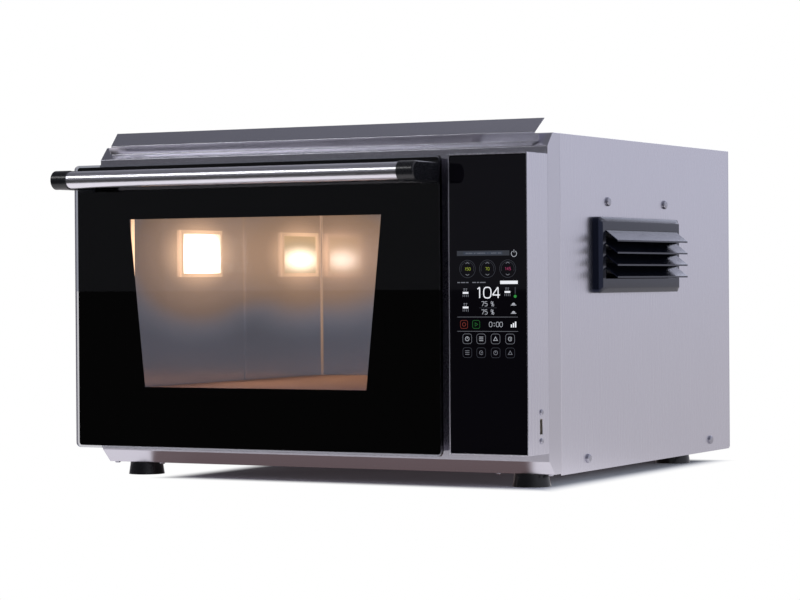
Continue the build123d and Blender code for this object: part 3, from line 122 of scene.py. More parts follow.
def new_material(name, **sockets):
    """Material with one principled shader whose even values are given by socket name."""
    made = bpy.data.materials.new(name)
    made.use_nodes = True
    tree = made.node_tree
    tree.nodes.clear()
    shader = add(tree, "BsdfPrincipled", {key.replace("_", " "): value for key, value in sockets.items()})
    shader.name = "shader"
    out = add(tree, "OutputMaterial", {"Surface": (shader, "BSDF")})
    out.name = "out"
    return made, tree, shader


# Metals

ALONG_X = 0
ALONG_Z = 2
# Real brush lines are 0.05 mm apart; they are drawn at 0.5 mm so that they show
brush_spacing = 0.5 * MM
brush_length = 90.0 * MM
# Cloths leave broad smears about as wide as a hand
smear_size = 70.0 * MM


def brushed(name, light, dark, along, roughness):
    """Belt-brushed or rolled stainless sheet: fine parallel lines, faint broad smears from wiping."""
    made, tree, shader = new_material(name, Metallic=1.0)
    place = add(tree, "TexCoord")
    per_metre = [1 / brush_spacing] * 3
    per_metre[along] = 1 / brush_length
    drawn_out = add(tree, "Mapping", {"Vector": (place, "Object"), "Scale": per_metre})
    lines = add(tree, "TexNoise", {"Vector": (drawn_out, "Vector"), "Scale": 1.0, "Detail": 3.0,
                                   "Roughness": 0.6})
    smears = add(tree, "TexNoise", {"Vector": (place, "Object"), "Scale": 1 / smear_size, "Detail": 4.0,
                                    "Roughness": 0.55})
    tint = add(tree, "Mix", {mix_share: (smears, "Fac"), mix_first: linear(dark),
                             mix_second: linear(light)}, data_type="RGBA")
    gloss = add(tree, "MapRange", {"Value": (lines, "Fac"), "From Min": noise_low, "From Max": noise_high,
                                   "To Min": roughness[0], "To Max": roughness[1]},
                interpolation_type="SMOOTHSTEP")
    wire(shader, {"Base Color": (tint, mixed), "Roughness": (gloss, "Result")})
    return made


def plated(name, light, dark, roughness, grain):
    """Drawn, plated or cast metal: even tone broken by a mottling of one grain size."""
    made, tree, shader = new_material(name, Metallic=1.0)
    place = add(tree, "TexCoord")
    mottle = add(tree, "TexNoise", {"Vector": (place, "Object"), "Scale": 1 / grain, "Detail": 5.0,
                                    "Roughness": 0.6})
    tint = add(tree, "Mix", {mix_share: (mottle, "Fac"), mix_first: linear(dark),
                             mix_second: linear(light)}, data_type="RGBA")
    gloss = add(tree, "MapRange", {"Value": (mottle, "Fac"), "From Min": noise_low, "From Max": noise_high,
                                   "To Min": roughness[0], "To Max": roughness[1]},
                interpolation_type="SMOOTHSTEP")
    wire(shader, {"Base Color": (tint, mixed), "Roughness": (gloss, "Result")})
    return made


# Plastics, rubber, glass and fired materials

# Tone drifts over patches this many times wider than the grain
patch_to_grain = 30
film_size = 45.5 * MM
# Only the thicker half of the film on a pane dulls it
film_from = 0.45
film_full = 0.75
# Brightness wavers from one group of display dots to the next
dot_group = MM / 3


def moulded(name, light, dark, roughness, grain, depth=0.0, **sockets):
    """Moulded, pressed or fired piece: a grain of one size and depth, slightly uneven gloss."""
    made, tree, shader = new_material(name, **sockets)
    place = add(tree, "TexCoord")
    pebbles = add(tree, "TexNoise", {"Vector": (place, "Object"), "Scale": 1 / grain, "Detail": 3.0,
                                     "Roughness": 0.6})
    patches = add(tree, "TexNoise", {"Vector": (place, "Object"), "Scale": 1 / (patch_to_grain * grain),
                                     "Detail": 2.0})
    tint = add(tree, "Mix", {mix_share: (patches, "Fac"), mix_first: linear(dark),
                             mix_second: linear(light)}, data_type="RGBA")
    gloss = add(tree, "MapRange", {"Value": (pebbles, "Fac"), "From Min": noise_low, "From Max": noise_high,
                                   "To Min": roughness[0], "To Max": roughness[1]},
                interpolation_type="SMOOTHSTEP")
    wire(shader, {"Base Color": (tint, mixed), "Roughness": (gloss, "Result")})
    if depth:
        bump = add(tree, "Bump", {"Height": (pebbles, "Fac"), "Distance": depth, "Strength": 1.0})
        wire(shader, {"Normal": (bump, "Normal")})
    return made


def clear_pane(name, tint, roughness):
    """Toughened float glass: clear, faintly blue, with a barely visible film of grease."""
    made, tree, shader = new_material(name, Base_Color=linear(tint), IOR=1.5, Transmission_Weight=1.0)
    place = add(tree, "TexCoord")
    film = add(tree, "TexNoise", {"Vector": (place, "Object"), "Scale": 1 / film_size, "Detail": 3.0})
    gloss = add(tree, "MapRange", {"Value": (film, "Fac"), "From Min": film_from, "From Max": film_full,
                                   "To Min": roughness[0], "To Max": roughness[1]},
                interpolation_type="SMOOTHSTEP")
    wire(shader, {"Roughness": (gloss, "Result")})
    return made


def lit_dots(name, colour, strength):
    """Lit display dots: an even glow that wavers by a tenth of its strength."""
    made, tree, shader = new_material(name, Base_Color=linear("#050505"), Roughness=0.3,
                                      Emission_Color=linear(colour))
    place = add(tree, "TexCoord")
    ripple = add(tree, "TexNoise", {"Vector": (place, "Object"), "Scale": 1 / dot_group, "Detail": 2.0})
    level = add(tree, "MapRange", {"Value": (ripple, "Fac"), "To Min": 0.9 * strength,
                                   "To Max": 1.1 * strength}, interpolation_type="SMOOTHSTEP")
    wire(shader, {"Emission Strength": (level, "Result")})
    return made


# Light of the two chamber lamps, nearest first, and the glow painted round them on the steel

lamp_length = 65.0 * MM
bulb_drop = 5.0 * MM
lens_low, lens_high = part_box("lamp_glasses")
lamp_ys = (lens_low[1] + lamp_length / 2, lens_high[1] - lamp_length / 2)
lamp_z = (lens_low[2] + lens_high[2]) / 2
# On each lens: how much flatter than wide its glow is, how far it reaches and how strong it is
lens_flatness = (1.5, 3.2)
lens_reach = (75.0 * MM, 78.0 * MM)
lens_peak = (1.0, 0.47)
heart_radius = 2.0 * MM
# Share of the full glow at which the rim ends and the heart begins, and the brightness of both
rim_share = 0.1
rim_level = 0.75
heart_share = 0.9
heart_level = 6.0
# Painted glow on the steel round the lamps: the painted halo's reach, and the glow at which its colour is
# fully warm
halo_reach = 75.0 * MM
warm_at = 0.16
cool_glow = "#F3F0FF"
warm_glow = "#FFC79A"
# Each lamp by number, with its share of a glow
both_lamps = ((0, 1.0), (1, 0.75))
near_lamp = ((0, 1.0),)


def lit_lens(name, heart, rim):
    """Lit lens: strength falls off from each bulb by the distance along and across the lens."""
    made, tree, shader = new_material(name, Base_Color=linear("#0A0806"), Roughness=0.2)
    place = add(tree, "TexCoord")
    falls = []
    for y, flatness, reach, peak in zip(lamp_ys, lens_flatness, lens_reach, lens_peak):
        squashed = add(tree, "Mapping", {"Vector": (place, "Object"), "Scale": (1.0, 1.0, flatness)})
        centre = (lens_high[0], y, flatness * (lamp_z - bulb_drop))
        apart = add(tree, "VectorMath", {0: (squashed, "Vector"), 1: centre}, operation="DISTANCE")
        falls.append(add(tree, "MapRange", {"Value": (apart, "Value"), "From Min": heart_radius,
                                            "From Max": reach, "To Min": peak, "To Max": 0.0},
                         interpolation_type="SMOOTHSTEP"))
    nearest = add(tree, "Math", {0: (falls[0], "Result"), 1: (falls[1], "Result")}, operation="MAXIMUM")
    tint = add(tree, "Mix", {mix_share: (nearest, "Value"), mix_first: linear(rim),
                             mix_second: linear(heart)}, data_type="RGBA")
    level = add(tree, "MapRange", {"Value": (nearest, "Value"), "From Min": rim_share,
                                   "From Max": heart_share, "To Min": rim_level, "To Max": heart_level},
                interpolation_type="SMOOTHSTEP")
    wire(shader, {"Emission Color": (tint, mixed), "Emission Strength": (level, "Result")})
    return made


def painted_lamp_glow(made, strength, reach, flatness, lamps=both_lamps, halo=0.0, even=0.0):
    """Steel with a painted glow: emission that stands in for the chamber's light scattered by the steel.

    The painted glow falls off by the distance from each lamp, with a narrow painted halo close by,
    over an even cool painted level. It turns from cool to warm as it grows stronger.
    """
    tree = made.node_tree
    place = add(tree, "TexCoord")
    squashed = add(tree, "Mapping", {"Vector": (place, "Object"), "Scale": (1.0, 1.0, flatness)})
    total = None
    for lamp, share in lamps:
        centre = (lens_high[0], lamp_ys[lamp], flatness * lamp_z)
        apart = add(tree, "VectorMath", {0: (squashed, "Vector"), 1: centre}, operation="DISTANCE")
        fall = add(tree, "MapRange", {"Value": (apart, "Value"), "From Min": 0.0, "From Max": reach,
                                      "To Min": strength * share, "To Max": 0.0},
                   interpolation_type="SMOOTHSTEP")
        near = add(tree, "MapRange", {"Value": (apart, "Value"), "From Min": 0.0, "From Max": halo_reach,
                                      "To Min": halo * share, "To Max": 0.0},
                   interpolation_type="SMOOTHSTEP")
        glow = add(tree, "Math", {0: (fall, "Result"), 1: (near, "Result")})
        total = glow if total is None else add(tree, "Math", {0: (total, "Value"), 1: (glow, "Value")})
    # Painted light: the summed glow goes into the steel's emission
    warmth = add(tree, "MapRange", {"Value": (total, "Value"), "From Min": 0.0, "From Max": warm_at,
                                    "To Min": 0.0, "To Max": 1.0}, interpolation_type="SMOOTHSTEP")
    tint = add(tree, "Mix", {mix_share: (warmth, "Result"), mix_first: linear(cool_glow),
                             mix_second: linear(warm_glow)}, data_type="RGBA")
    level = add(tree, "Math", {0: (total, "Value"), 1: even})
    wire(tree.nodes["shader"], {"Emission Color": (tint, mixed), "Emission Strength": (level, "Value")})
    return made


# The grain of real plating and moulds is about 0.1 mm; it is drawn at 0.8 mm and more so that it shows
materials = {
    # Brushed stainless, wiped clean: a pale satin, nearly even, whose upright lines show close by
    "cover_steel": brushed("brushed_stainless_cover", "#D2D1DB", "#CECDD7", ALONG_Z, (0.26, 0.275)),
    # The same sheet brushed sideways: a shade darker, with highlights drawn out along each bend
    "front_steel": brushed("brushed_stainless_front", "#CCCBD4", "#C5C4CD", ALONG_X, (0.23, 0.27)),
    # Sheet with painted shade: darker, so that the gap round the inner pane reads as a recess
    "door_back_steel": brushed("door_pan_steel_painted_recess_shade", "#A19FA8", "#8E8C95", ALONG_X, (0.22, 0.3)),
    # Brushed tube: one long bright streak with soft edges, dark above and below it
    "tube_steel": brushed("brushed_stainless_tube", "#E6E5EC", "#DAD9E0", ALONG_X, (0.22, 0.28)),
    # Bright rolled strip: pale grey rails and clips that mirror the stone as a blur
    "trim_steel": brushed("bright_rolled_stainless_trim", "#B9B6BE", "#A8A5AD", ALONG_Z, (0.27, 0.30)),
    # Bright rolled sheet with a painted glow: walls that mirror each other softly, painted warm by the lamps
    # and cool low down
    "liner_steel": painted_lamp_glow(
        brushed("stainless_liner_painted_lamp_glow", "#B7B5BF", "#AFADB7", ALONG_Z, (0.15, 0.17)),
        strength=0.42, reach=175 * MM, flatness=1.9, halo=0.9, even=0.066),
    # Folded sheet with a painted glow: the rear corners show as painted lighter upright lines
    "fold_steel": painted_lamp_glow(
        brushed("folded_stainless_corner_painted_glow", "#C6C3CA", "#BDBAC1", ALONG_Z, (0.24, 0.26)),
        strength=0.62, reach=190 * MM, flatness=1.0, even=0.06),
    # Folded edge beside the nearest lamp: a painted highlight, a bright warm line at the mouth
    "lip_steel": painted_lamp_glow(
        brushed("folded_stainless_mouth_lip_painted_highlight", "#C6C3CA", "#BDBAC1", ALONG_Z, (0.24, 0.26)),
        strength=5.0, reach=200 * MM, flatness=2.0, lamps=near_lamp, even=0.06),
    # Pressed frame round each lens with a painted glow: no darker than the wall's painted glow, so that it
    # doesn't outline the lamp
    "bezel_steel": painted_lamp_glow(
        brushed("stainless_bezel_painted_lamp_glow", "#C6C3CA", "#BDBAC1", ALONG_Z, (0.24, 0.26)),
        strength=1.5, reach=90 * MM, flatness=1.0, even=0.06),
    # Zinc-dipped sheet: dull grey with broad cloudy patches
    "galvanised": plated("galvanised_steel_sheet", "#A9ADB0", "#8C9094", (0.35, 0.5), grain=12 * MM),
    # Bright zinc plating: pale and fairly shiny, with a fine mottling
    "zinc": plated("zinc_plated_steel", "#C9CACD", "#B3B4B8", (0.22, 0.32), grain=3 * MM),
    # Plated screw heads: darker than the sheet that they hold, so that they stand out from it
    "screw_zinc": plated("zinc_plated_screw_steel", "#B4B4BE", "#9C9CA6", (0.2, 0.3), grain=2 * MM),
    # Mill finish: light grey with a soft sheen
    "aluminium": plated("mill_finish_aluminium", "#CFD0D2", "#BDBEC1", (0.3, 0.4), grain=4 * MM),
    # Stacked iron sheets under varnish: near black and satin
    "laminations": plated("varnished_iron_laminations", "#4A4A4E", "#333337", (0.35, 0.5), grain=2 * MM),
    # Sheath of a heater in use: brown grey, uneven from the heat
    "heater": plated("heat_darkened_heater_sheath", "#7A6A60", "#4C423D", (0.3, 0.45), grain=9 * MM),
    # Nickel plating: a pale, slightly warm mirror
    "nickel": plated("nickel_plated_steel", "#CFCBC4", "#BDB9B2", (0.15, 0.22), grain=3 * MM),
    # Gloss moulding: blue black, with sharp bright lines on the frame's and the blades' edges
    "black_gloss": moulded("gloss_black_abs", "#10131C", "#0B0D15", (0.10, 0.15), grain=1.5 * MM,
                           Specular_Tint=linear("#C2CEFF"), Specular_IOR_Level=0.4),
    # Fine grained moulding: black, with one broad soft highlight
    "black_satin": moulded("satin_black_nylon", "#15161B", "#0E0F13", (0.22, 0.32), grain=0.8 * MM,
                           depth=0.002 * MM),
    # Natural nylon: off-white and half matt
    "white_nylon": moulded("white_nylon", "#E2DED4", "#D6D2C8", (0.4, 0.5), grain=0.8 * MM, depth=0.004 * MM),
    # Rubber from a polished mould: near black, with a sheen on the feet's round rims
    "rubber": moulded("moulded_black_rubber", "#0A0B0E", "#07080A", (0.16, 0.22), grain=1.0 * MM,
                      depth=0.001 * MM),
    # Silicone: a matt dark grey seam that hides the gap behind the door
    "silicone": moulded("grey_silicone_rubber", "#3A3B3F", "#2E2F33", (0.5, 0.6), grain=1.2 * MM,
                        depth=0.006 * MM),
    # Solder mask over copper: deep green and half gloss
    "circuit_board": moulded("green_solder_mask_board", "#1E6B3C", "#155230", (0.3, 0.4), grain=2 * MM,
                             depth=0.005 * MM),
    # Unglazed steatite: off-white and matt
    "ceramic": moulded("steatite_ceramic", "#E9E4D8", "#DAD4C6", (0.5, 0.6), grain=1.2 * MM, depth=0.01 * MM),
    # Pressed mineral fibre: cream, fully matt, coarse to the touch
    "fibre_board": moulded("pressed_mineral_fibre_board", "#DDD6C4", "#C9C1AD", (0.85, 0.95), grain=2 * MM,
                           depth=0.2 * MM),
    # Fired cordierite: pale reddish brown, matt, with an open grain
    "stone": moulded("fired_cordierite_stone", "#C79C8C", "#B08878", (0.7, 0.85), grain=1.6 * MM,
                     depth=0.08 * MM),
    # Enamel fired onto the pane: deep black with a faint even sheen
    "frit": moulded("fired_black_enamel", "#0B1017", "#080C12", (0.28, 0.30), grain=2.0 * MM),
    # Pane printed black on its back: a black mirror without depth
    "panel_glass": moulded("black_backed_panel_glass", "#050409", "#040308", (0.01, 0.03), grain=40 * MM),
    # Float glass: clear, and only its mirror images show where it is
    "door_glass": clear_pane("toughened_float_glass", "#F6F9FA", (0.0, 0.01)),
    # Display stack round the lit dots: black, a little duller than the pane over it
    "display": moulded("lit_display_stack", "#0A0B0E", "#08090B", (0.2, 0.3), grain=2 * MM, depth=0.001 * MM),
    # Frosted lens before a bulb: a white heart that fades to amber
    "lamp": lit_lens("lit_lamp_lens", "#FFFCF4", "#FFCB94"),
}

finish_of = {
    "cover_steel": ["outer_cover", "rear_panel", "control_housing"],
    "front_steel": ["front_frame", "visor"],
    "door_back_steel": ["door_pan"],
    "tube_steel": ["handle_bar"],
    "trim_steel": ["stone_rails", "heater_clips"],
    "bezel_steel": ["lamp_bezels"],
    "liner_steel": ["chamber_liner"],
    "galvanised": ["base_tray", "partition_wall", "fan_housing", "lamp_boxes", "glass_clips"],
    "zinc": ["foot_screws", "hinge_screws", "handle_screws", "hinge_pins", "hinge_brackets", "door_arms",
             "fan_shaft"],
    "screw_zinc": ["side_screws", "rear_screws", "usb_screws", "base_rivets"],
    "aluminium": ["fan_impeller"],
    "laminations": ["fan_motor"],
    "heater": ["top_heater", "bottom_heater", "temperature_probes"],
    "nickel": ["inlet_pins", "usb_socket", "overheat_cutout", "door_magnet"],
    "black_gloss": ["vent_housing", "vent_blades"],
    "black_satin": ["handle_end_left", "handle_end_right", "power_inlet", "board_parts", "door_sensor"],
    "white_nylon": ["terminal_block", "arm_guides"],
    "rubber": ["feet"],
    "silicone": ["door_gasket"],
    "circuit_board": ["panel_board", "power_board"],
    "ceramic": ["heater_bushes", "lamp_holders"],
    "fibre_board": ["chamber_insulation"],
    "stone": ["baking_stone"],
    "frit": ["door_frit"],
    "panel_glass": ["control_glass"],
    "door_glass": ["door_outer_glass", "door_inner_glass"],
    "display": ["display_module"],
    "lamp": ["lamp_glasses", "lamp_bulbs"],
}
finish_by_node = {name: finish for finish, names in finish_of.items() for name in names}


def finish_nodes():
    """Give every carried-over node its own finish."""
    for name, finish in finish_by_node.items():
        data = nodes[name].data
        data.materials.clear()
        data.materials.append(materials[finish])


def closed_mesh(name, points, faces):
    """Mesh of a closed shape, with its faces turned outwards."""
    mesh = bpy.data.meshes.new(name)
    mesh.from_pydata(points.tolist(), [], faces)
    shape = bmesh.new()
    shape.from_mesh(mesh)
    bmesh.ops.recalc_face_normals(shape, faces=shape.faces)
    shape.to_mesh(mesh)
    shape.free()
    return mesh


def add_piece(name, mesh, material, body):
    """Finished mesh as a piece that rides on a body and takes its finish from a slot."""
    mesh.materials.clear()
    mesh.materials.append(material)
    piece = bpy.data.objects.new(name, mesh)
    scene.collection.objects.link(piece)
    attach(piece, body)
    return piece


# Softened edges: sheet bends and moulded edges are round on the real oven

# Width of each node's bends, then of its cut rims
soft_edges = {
    "front_frame": (1.6 * MM, 0.3 * MM),
    "outer_cover": (1.6 * MM, 0.3 * MM),
    "visor": (1.0 * MM, 0.25 * MM),
    "control_housing": (1.2 * MM, 0.25 * MM),
    "vent_housing": (0.6 * MM, 0.4 * MM),
    "feet": (0.8 * MM, 0.8 * MM),
}
flat_turn = math.radians(0.5)
bend_turn = math.radians(16)
smooth_turn = math.radians(32)
rim_turn = math.radians(80)
shortest_soft_edge = 3.5 * MM
merge_reach = 0.002 * MM


def softened(name, bend, rim):
    """Copy of a node whose sheet bends and cut rims are rounded.

    An edge that turns by more than the bend's angle is a bend and gets its width; past the rim's
    angle it gets the width of a rim. A bevel weight is the width's share of the wider of both.
    """
    mesh = nodes[name].data.copy()
    mesh.name = name + "_soft"
    shape = bmesh.new()
    shape.from_mesh(mesh)
    bmesh.ops.remove_doubles(shape, verts=shape.verts, dist=merge_reach)
    bmesh.ops.dissolve_limit(shape, angle_limit=flat_turn, verts=shape.verts, edges=shape.edges)
    bmesh.ops.recalc_face_normals(shape, faces=shape.faces)
    weight = shape.edges.layers.float.new("bevel_weight_edge")
    widest = max(bend, rim)
    for edge in shape.edges:
        if len(edge.link_faces) != 2:
            continue
        turn = edge.calc_face_angle()
        if turn > bend_turn and edge.calc_length() > shortest_soft_edge:
            edge[weight] = (rim if turn > rim_turn else bend) / widest
        edge.smooth = turn < smooth_turn or edge[weight] > 0
    for face in shape.faces:
        face.smooth = True
    shape.to_mesh(mesh)
    shape.free()
    piece = add_piece(name + "_soft", mesh, materials[finish_by_node[name]], "root")
    bevel = piece.modifiers.new("round", "BEVEL")
    bevel.limit_method = "WEIGHT"
    bevel.width = widest
    bevel.segments = 2
    bevel.use_clamp_overlap = False
    bevel.harden_normals = False
    level = piece.modifiers.new("flat_faces", "WEIGHTED_NORMAL")
    level.keep_sharp = True
    level.weight = 100
    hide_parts(name)


def soften_nodes():
    """Rounded copies of the nodes whose edges catch the light."""
    for name, (bend, rim) in soft_edges.items():
        softened(name, bend, rim)


# Chamber folds: the rolled corners behind, the seam and the mouth's folded lip

wall_gauge = 1.0 * MM
liner_flange = 6.0 * MM
stone_side_gap = 3.0 * MM
stone_end_gap = 5.0 * MM
seam_from_mouth = 199.0 * MM
corner_radius = 1.8 * MM
bead_radius = 1.3 * MM
lip_radius = 2.0 * MM
lip_from_mouth = 3.2 * MM
corner_foot = 8.0 * MM
corner_points = 9
bead_points = 13
fold_turn = math.radians(40)
liner_low, liner_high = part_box("chamber_liner")
stone_low, stone_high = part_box("baking_stone")
wall_left = stone_low[0] - stone_side_gap
wall_right = stone_high[0] + stone_side_gap
wall_rear = stone_high[1] + stone_end_gap
mouth_y = stone_low[1] - stone_end_gap
ceiling = liner_high[2] - liner_flange - wall_gauge


def upright_strip(name, profile, low, high, finish):
    """Closed bar: one outline in the floor plane, carried straight from the low to the high end."""
    outline = np.asarray(profile, float)
    count = len(outline)
    points = np.vstack([np.column_stack([outline, np.full(count, z)]) for z in (low, high)])
    here = np.arange(count)
    there = (here + 1) % count
    sides = np.column_stack([here, there, there + count, here + count])
    mesh = closed_mesh(name, points, sides.tolist() + [here[::-1].tolist(), (here + count).tolist()])
    mesh.shade_smooth()
    mesh.set_sharp_from_angle(angle=fold_turn)
    add_piece(name, mesh, materials[finish], "root")


def hollow_corner(x, side):
    """Rear corner point, then the quarter circle that rounds it, centred a radius off both walls."""
    angle = np.radians(np.linspace(0, 90, corner_points))
    across = x + side * corner_radius * (1 - np.sin(angle))
    along = wall_rear - corner_radius * (1 - np.cos(angle))
    return np.vstack([[(x, wall_rear)], np.column_stack([across, along])])


def half_round(y, radius):
    """Half circle that stands out of the left wall."""
    angle = np.radians(np.linspace(-90, 90, bead_points))
    return np.column_stack([wall_left + radius * np.cos(angle), y + radius * np.sin(angle)])


def add_chamber_folds():
    """Rounded rear corners, the seam's bead and the lip at the mouth's left edge."""
    floor = liner_low[2] + corner_foot
    bead = half_round(mouth_y + seam_from_mouth, bead_radius)
    lip = half_round(mouth_y + lip_from_mouth, lip_radius)
    upright_strip("liner_fold_left", hollow_corner(wall_left, 1), floor, ceiling, "fold_steel")
    upright_strip("liner_fold_right", hollow_corner(wall_right, -1), floor, ceiling, "fold_steel")
    upright_strip("liner_seam_bead", bead, stone_high[2], ceiling, "liner_steel")
    upright_strip("liner_mouth_lip", lip, stone_high[2], ceiling, "lip_steel")


# Touch display: thin lit marks on the panel glass, placed from the lit area's left and top

mark_thickness = 0.05 * MM
display_border = 3.0 * MM
module_low, module_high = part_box("display_module")
lit_left = module_low[0] + display_border
lit_top = module_high[2] - display_border
mark_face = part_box("control_glass")[0][1]

ink = {
    "white": "#ECEEF4",
    "soft_white": "#A9ACB4",
    "grey": "#6E7078",
    "dim": "#3A3D45",
    "blue_grey": "#3C4350",
    "lime": "#7E8A2C",
    "pink": "#8A2F55",
    "green": "#2E8A3C",
    "dark_green": "#1E5A28",
    "red": "#6E2A22",
}
full_glow = 1.0
dim_glow = 0.8
marks = {colour: [] for colour in ink}

# From here to add_display, sizes and places on the display are millimetres, right and down
lit_width = 56.0
hairline = 0.3
fine_pen = 0.4
sign_pen = 0.45
bold_pen = 0.5
dash_height = 0.8
# Left end and length of each dash
header_dashes = ((8.0, 6.5), (15.6, 1.6), (18.2, 8.0), (27.4, 3.2), (31.6, 5.0), (38.0, 3.0))
tab_dashes = ((0.2, 2.6), (3.6, 4.0), (8.4, 2.2), (14.2, 3.4), (18.4, 2.0), (21.2, 5.2))
power_x = 52.7
power_radius = 2.4
dial_row = 15.1
dial_radius = 7.3
scale_radius = 5.9
dials = ((9.7, "lime", "150"), (28.2, "lime", "70"), (46.9, "pink", "145"))
tab_row = 26.0
reading_row = 34.9
heat_icons = ((7.8, 35.0), (7.8, 47.2), (46.5, 34.4))
gauge_x = 53.6
level_rows = (44.2, 51.0)
cloche_x = 52.0
timer_row = 61.3
stop_x = 6.2
start_x = 17.5
timer_side = 6.6
timer_corner = 1.4
button_side = 8.2
button_corner = 2.2
button_columns = (9.1, 22.0, 35.3, 48.7)
# How far down a row is, the inks of its frames and signs, and the columns of clock, list, peak and loop
button_rows = ((73.3, "grey", "soft_white", (0, 1, 2, 3)), (84.8, "dim", "grey", (2, 0, 3, 1)))


def on_glass(points, depth):
    """Display points as places on the glass, a depth in metres in front of it."""
    flat = np.asarray(points, float)
    return np.column_stack([lit_left + flat[:, 0] * MM, np.full(len(flat), mark_face - depth),
                            lit_top - flat[:, 1] * MM])


def stroke(colour, points, width, closed=False):
    """Add a flat closed bar along a path.

    Each point moves half the width to both sides along its mitre, which is the sum of the two
    neighbouring normals divided by one plus their dot product.
    """
    path = np.asarray(points, float)
    step = np.roll(path, -1, axis=0) - path if closed else np.diff(path, axis=0)
    unit = step / np.linalg.norm(step, axis=1, keepdims=True)
    normal = np.column_stack([-unit[:, 1], unit[:, 0]])
    before = np.roll(normal, 1, axis=0) if closed else np.vstack([normal[:1], normal])
    after = normal if closed else np.vstack([normal, normal[-1:]])
    mitre = (before + after) / (1 + (before * after).sum(axis=1, keepdims=True))
    left = path + mitre * width / 2
    right = path - mitre * width / 2
    count = len(path)
    places = np.concatenate([on_glass(left, 0), on_glass(right, 0), on_glass(right, mark_thickness),
                             on_glass(left, mark_thickness)])
    here = np.arange(count if closed else count - 1)
    there = (here + 1) % count
    faces = [np.column_stack([here + a * count, there + a * count, there + b * count, here + b * count])
             for a, b in ((0, 1), (1, 2), (2, 3), (3, 0))]
    if not closed:
        ends = np.array([[0, count, 2 * count, 3 * count]])
        faces += [ends, ends + count - 1]
    marks[colour].append((places, np.concatenate(faces)))


def bar(colour, x, down, length, height):
    """Filled rectangle by its left, top, length and height."""
    stroke(colour, [(x, down + height / 2), (x + length, down + height / 2)], height)


def centred_bar(colour, x, down, length, height):
    """Filled rectangle by its centre, length and height."""
    bar(colour, x - length / 2, down - height / 2, length, height)


def arc_points(x, down, radius, start=0.0, sweep=360.0, steps=48):
    """Points of an arc: angle from the right, clockwise as seen, in degrees."""
    count = steps if sweep >= 360 else steps + 1
    angle = np.radians(start + sweep * np.arange(count) / steps)
    return np.column_stack([x + radius * np.cos(angle), down + radius * np.sin(angle)])


def ring(colour, x, down, radius, width, start=0.0, sweep=360.0):
    """Ring or arc of a given width."""
    stroke(colour, arc_points(x, down, radius, start, sweep), width, closed=sweep >= 360)


def dot(colour, x, down, radius):
    """Filled disc: a ring whose inner edge is a pin hole."""
    pin_hole = 0.02
    ring(colour, x, down, (radius + pin_hole) / 2, radius - pin_hole)


def rounded_box(colour, x, down, side, corner, width):
    """Outline of a square with round corners about a centre."""
    reach = side / 2 - corner
    points = [arc_points(x + sx * reach, down + sy * reach, corner, start, 90, 6)
              for sx, sy, start in ((1, 1, 0), (-1, 1, 90), (-1, -1, 180), (1, -1, 270))]
    stroke(colour, np.concatenate(points), width, closed=True)


def superellipse(size, across, down, power=0.7):
    """Rounded square about a centre: cosine and sine to a power below one, with their signs."""
    turn = np.radians(np.arange(0, 360, 15))
    swing = np.column_stack([np.cos(turn), np.sin(turn)])
    return size / 2 * np.sign(swing) * np.abs(swing) ** power + (across, down)


# Strokes of each plain numeral in a cell one wide and one high, and whether they are closed
numerals = {
    "0": [(superellipse(1.0, 0.5, 0.5), True)],
    "1": [([(0.38, 0.16), (0.68, 0.0)], False), ([(0.68, 0.0), (0.68, 1.0)], False)],
    "4": [([(0.74, 0.0), (0.74, 1.0)], False), ([(0.70, 0.0), (0.0, 0.70)], False),
          ([(0.0, 0.72), (1.0, 0.72)], False)],
    "5": [([(0.92, 0.0), (0.12, 0.0), (0.08, 0.42), (0.6, 0.38), (0.96, 0.54), (0.96, 0.82),
            (0.62, 1.0), (0.02, 0.96)], False)],
    "7": [([(0.0, 0.0), (0.98, 0.0)], False), ([(0.96, 0.02), (0.34, 1.0)], False)],
    ":": [(superellipse(0.12, 0.5, 0.25), True), (superellipse(0.12, 0.5, 0.8), True)],
    "%": [(superellipse(0.48, 0.22, 0.22), True), (superellipse(0.48, 0.78, 0.78), True),
          ([(0.8, 0.0), (0.2, 1.0)], False)],
    " ": [],
}


def figures(colour, text, x, down, height, width, pitch, pen):
    """Plain numerals centred at x and down, drawn with a pen of one width."""
    start = x - (len(text) - 1) * pitch / 2 - width / 2
    for number, sign in enumerate(text):
        corner = np.array((start + number * pitch, down - height / 2))
        for path, closed in numerals[sign]:
            stroke(colour, np.asarray(path) * (width, height) + corner, pen, closed)


def header_marks():
    """Status bar with plain dashes, and the open power ring with its stem, in the top row."""
    bar("dim", 0.0, 0.0, 48.5, 4.2)
    bar("blue_grey", 6.0, 0.9, 36.0, 2.4)
    for x, length in header_dashes:
        bar("grey", x, 1.7, length, dash_height)
    ring("soft_white", power_x, 2.8, power_radius, bold_pen, -60, 300)
    centred_bar("soft_white", power_x, 0.6, bold_pen, power_radius)


def dial_marks():
    """Three round dials: rim, scale, a small number, and a chevron above and below it."""
    for x, colour, number in dials:
        ring("dim", x, dial_row, dial_radius, 0.35)
        ring("dim", x, dial_row, scale_radius, hairline, 160, 220)
        figures(colour, number, x, dial_row, 2.3, 1.5, 2.0, fine_pen)
        for side in (-1, 1):
            foot = dial_row + side * 4.4
            tip = dial_row + side * 5.3
            stroke("grey", [(x - 1.7, foot), (x, tip), (x + 1.7, foot)], bold_pen)


def tab_marks():
    """Row of tabs: dim dashes, and one lit bar."""
    for x, length in tab_dashes:
        bar("grey", x, tab_row, length, dash_height)
    bar("white", 39.9, tab_row - 0.9, 16.1, 2.7)


def heat_marks(x, down):
    """Heat icon: lit bar with rising dashes above and dots below."""
    centred_bar("white", x, down, 5.2, 1.6)
    for shift in (-1.6, 0.4):
        bar("grey", x + shift - 0.3, down - 3.6, 1.4, 0.7)
        bar("grey", x + shift, down - 2.6, 0.6, 1.2)
    for shift in (-2.4, -0.8, 0.8, 2.4):
        centred_bar("grey", x + shift, down + 2.45, 0.5, 1.9)


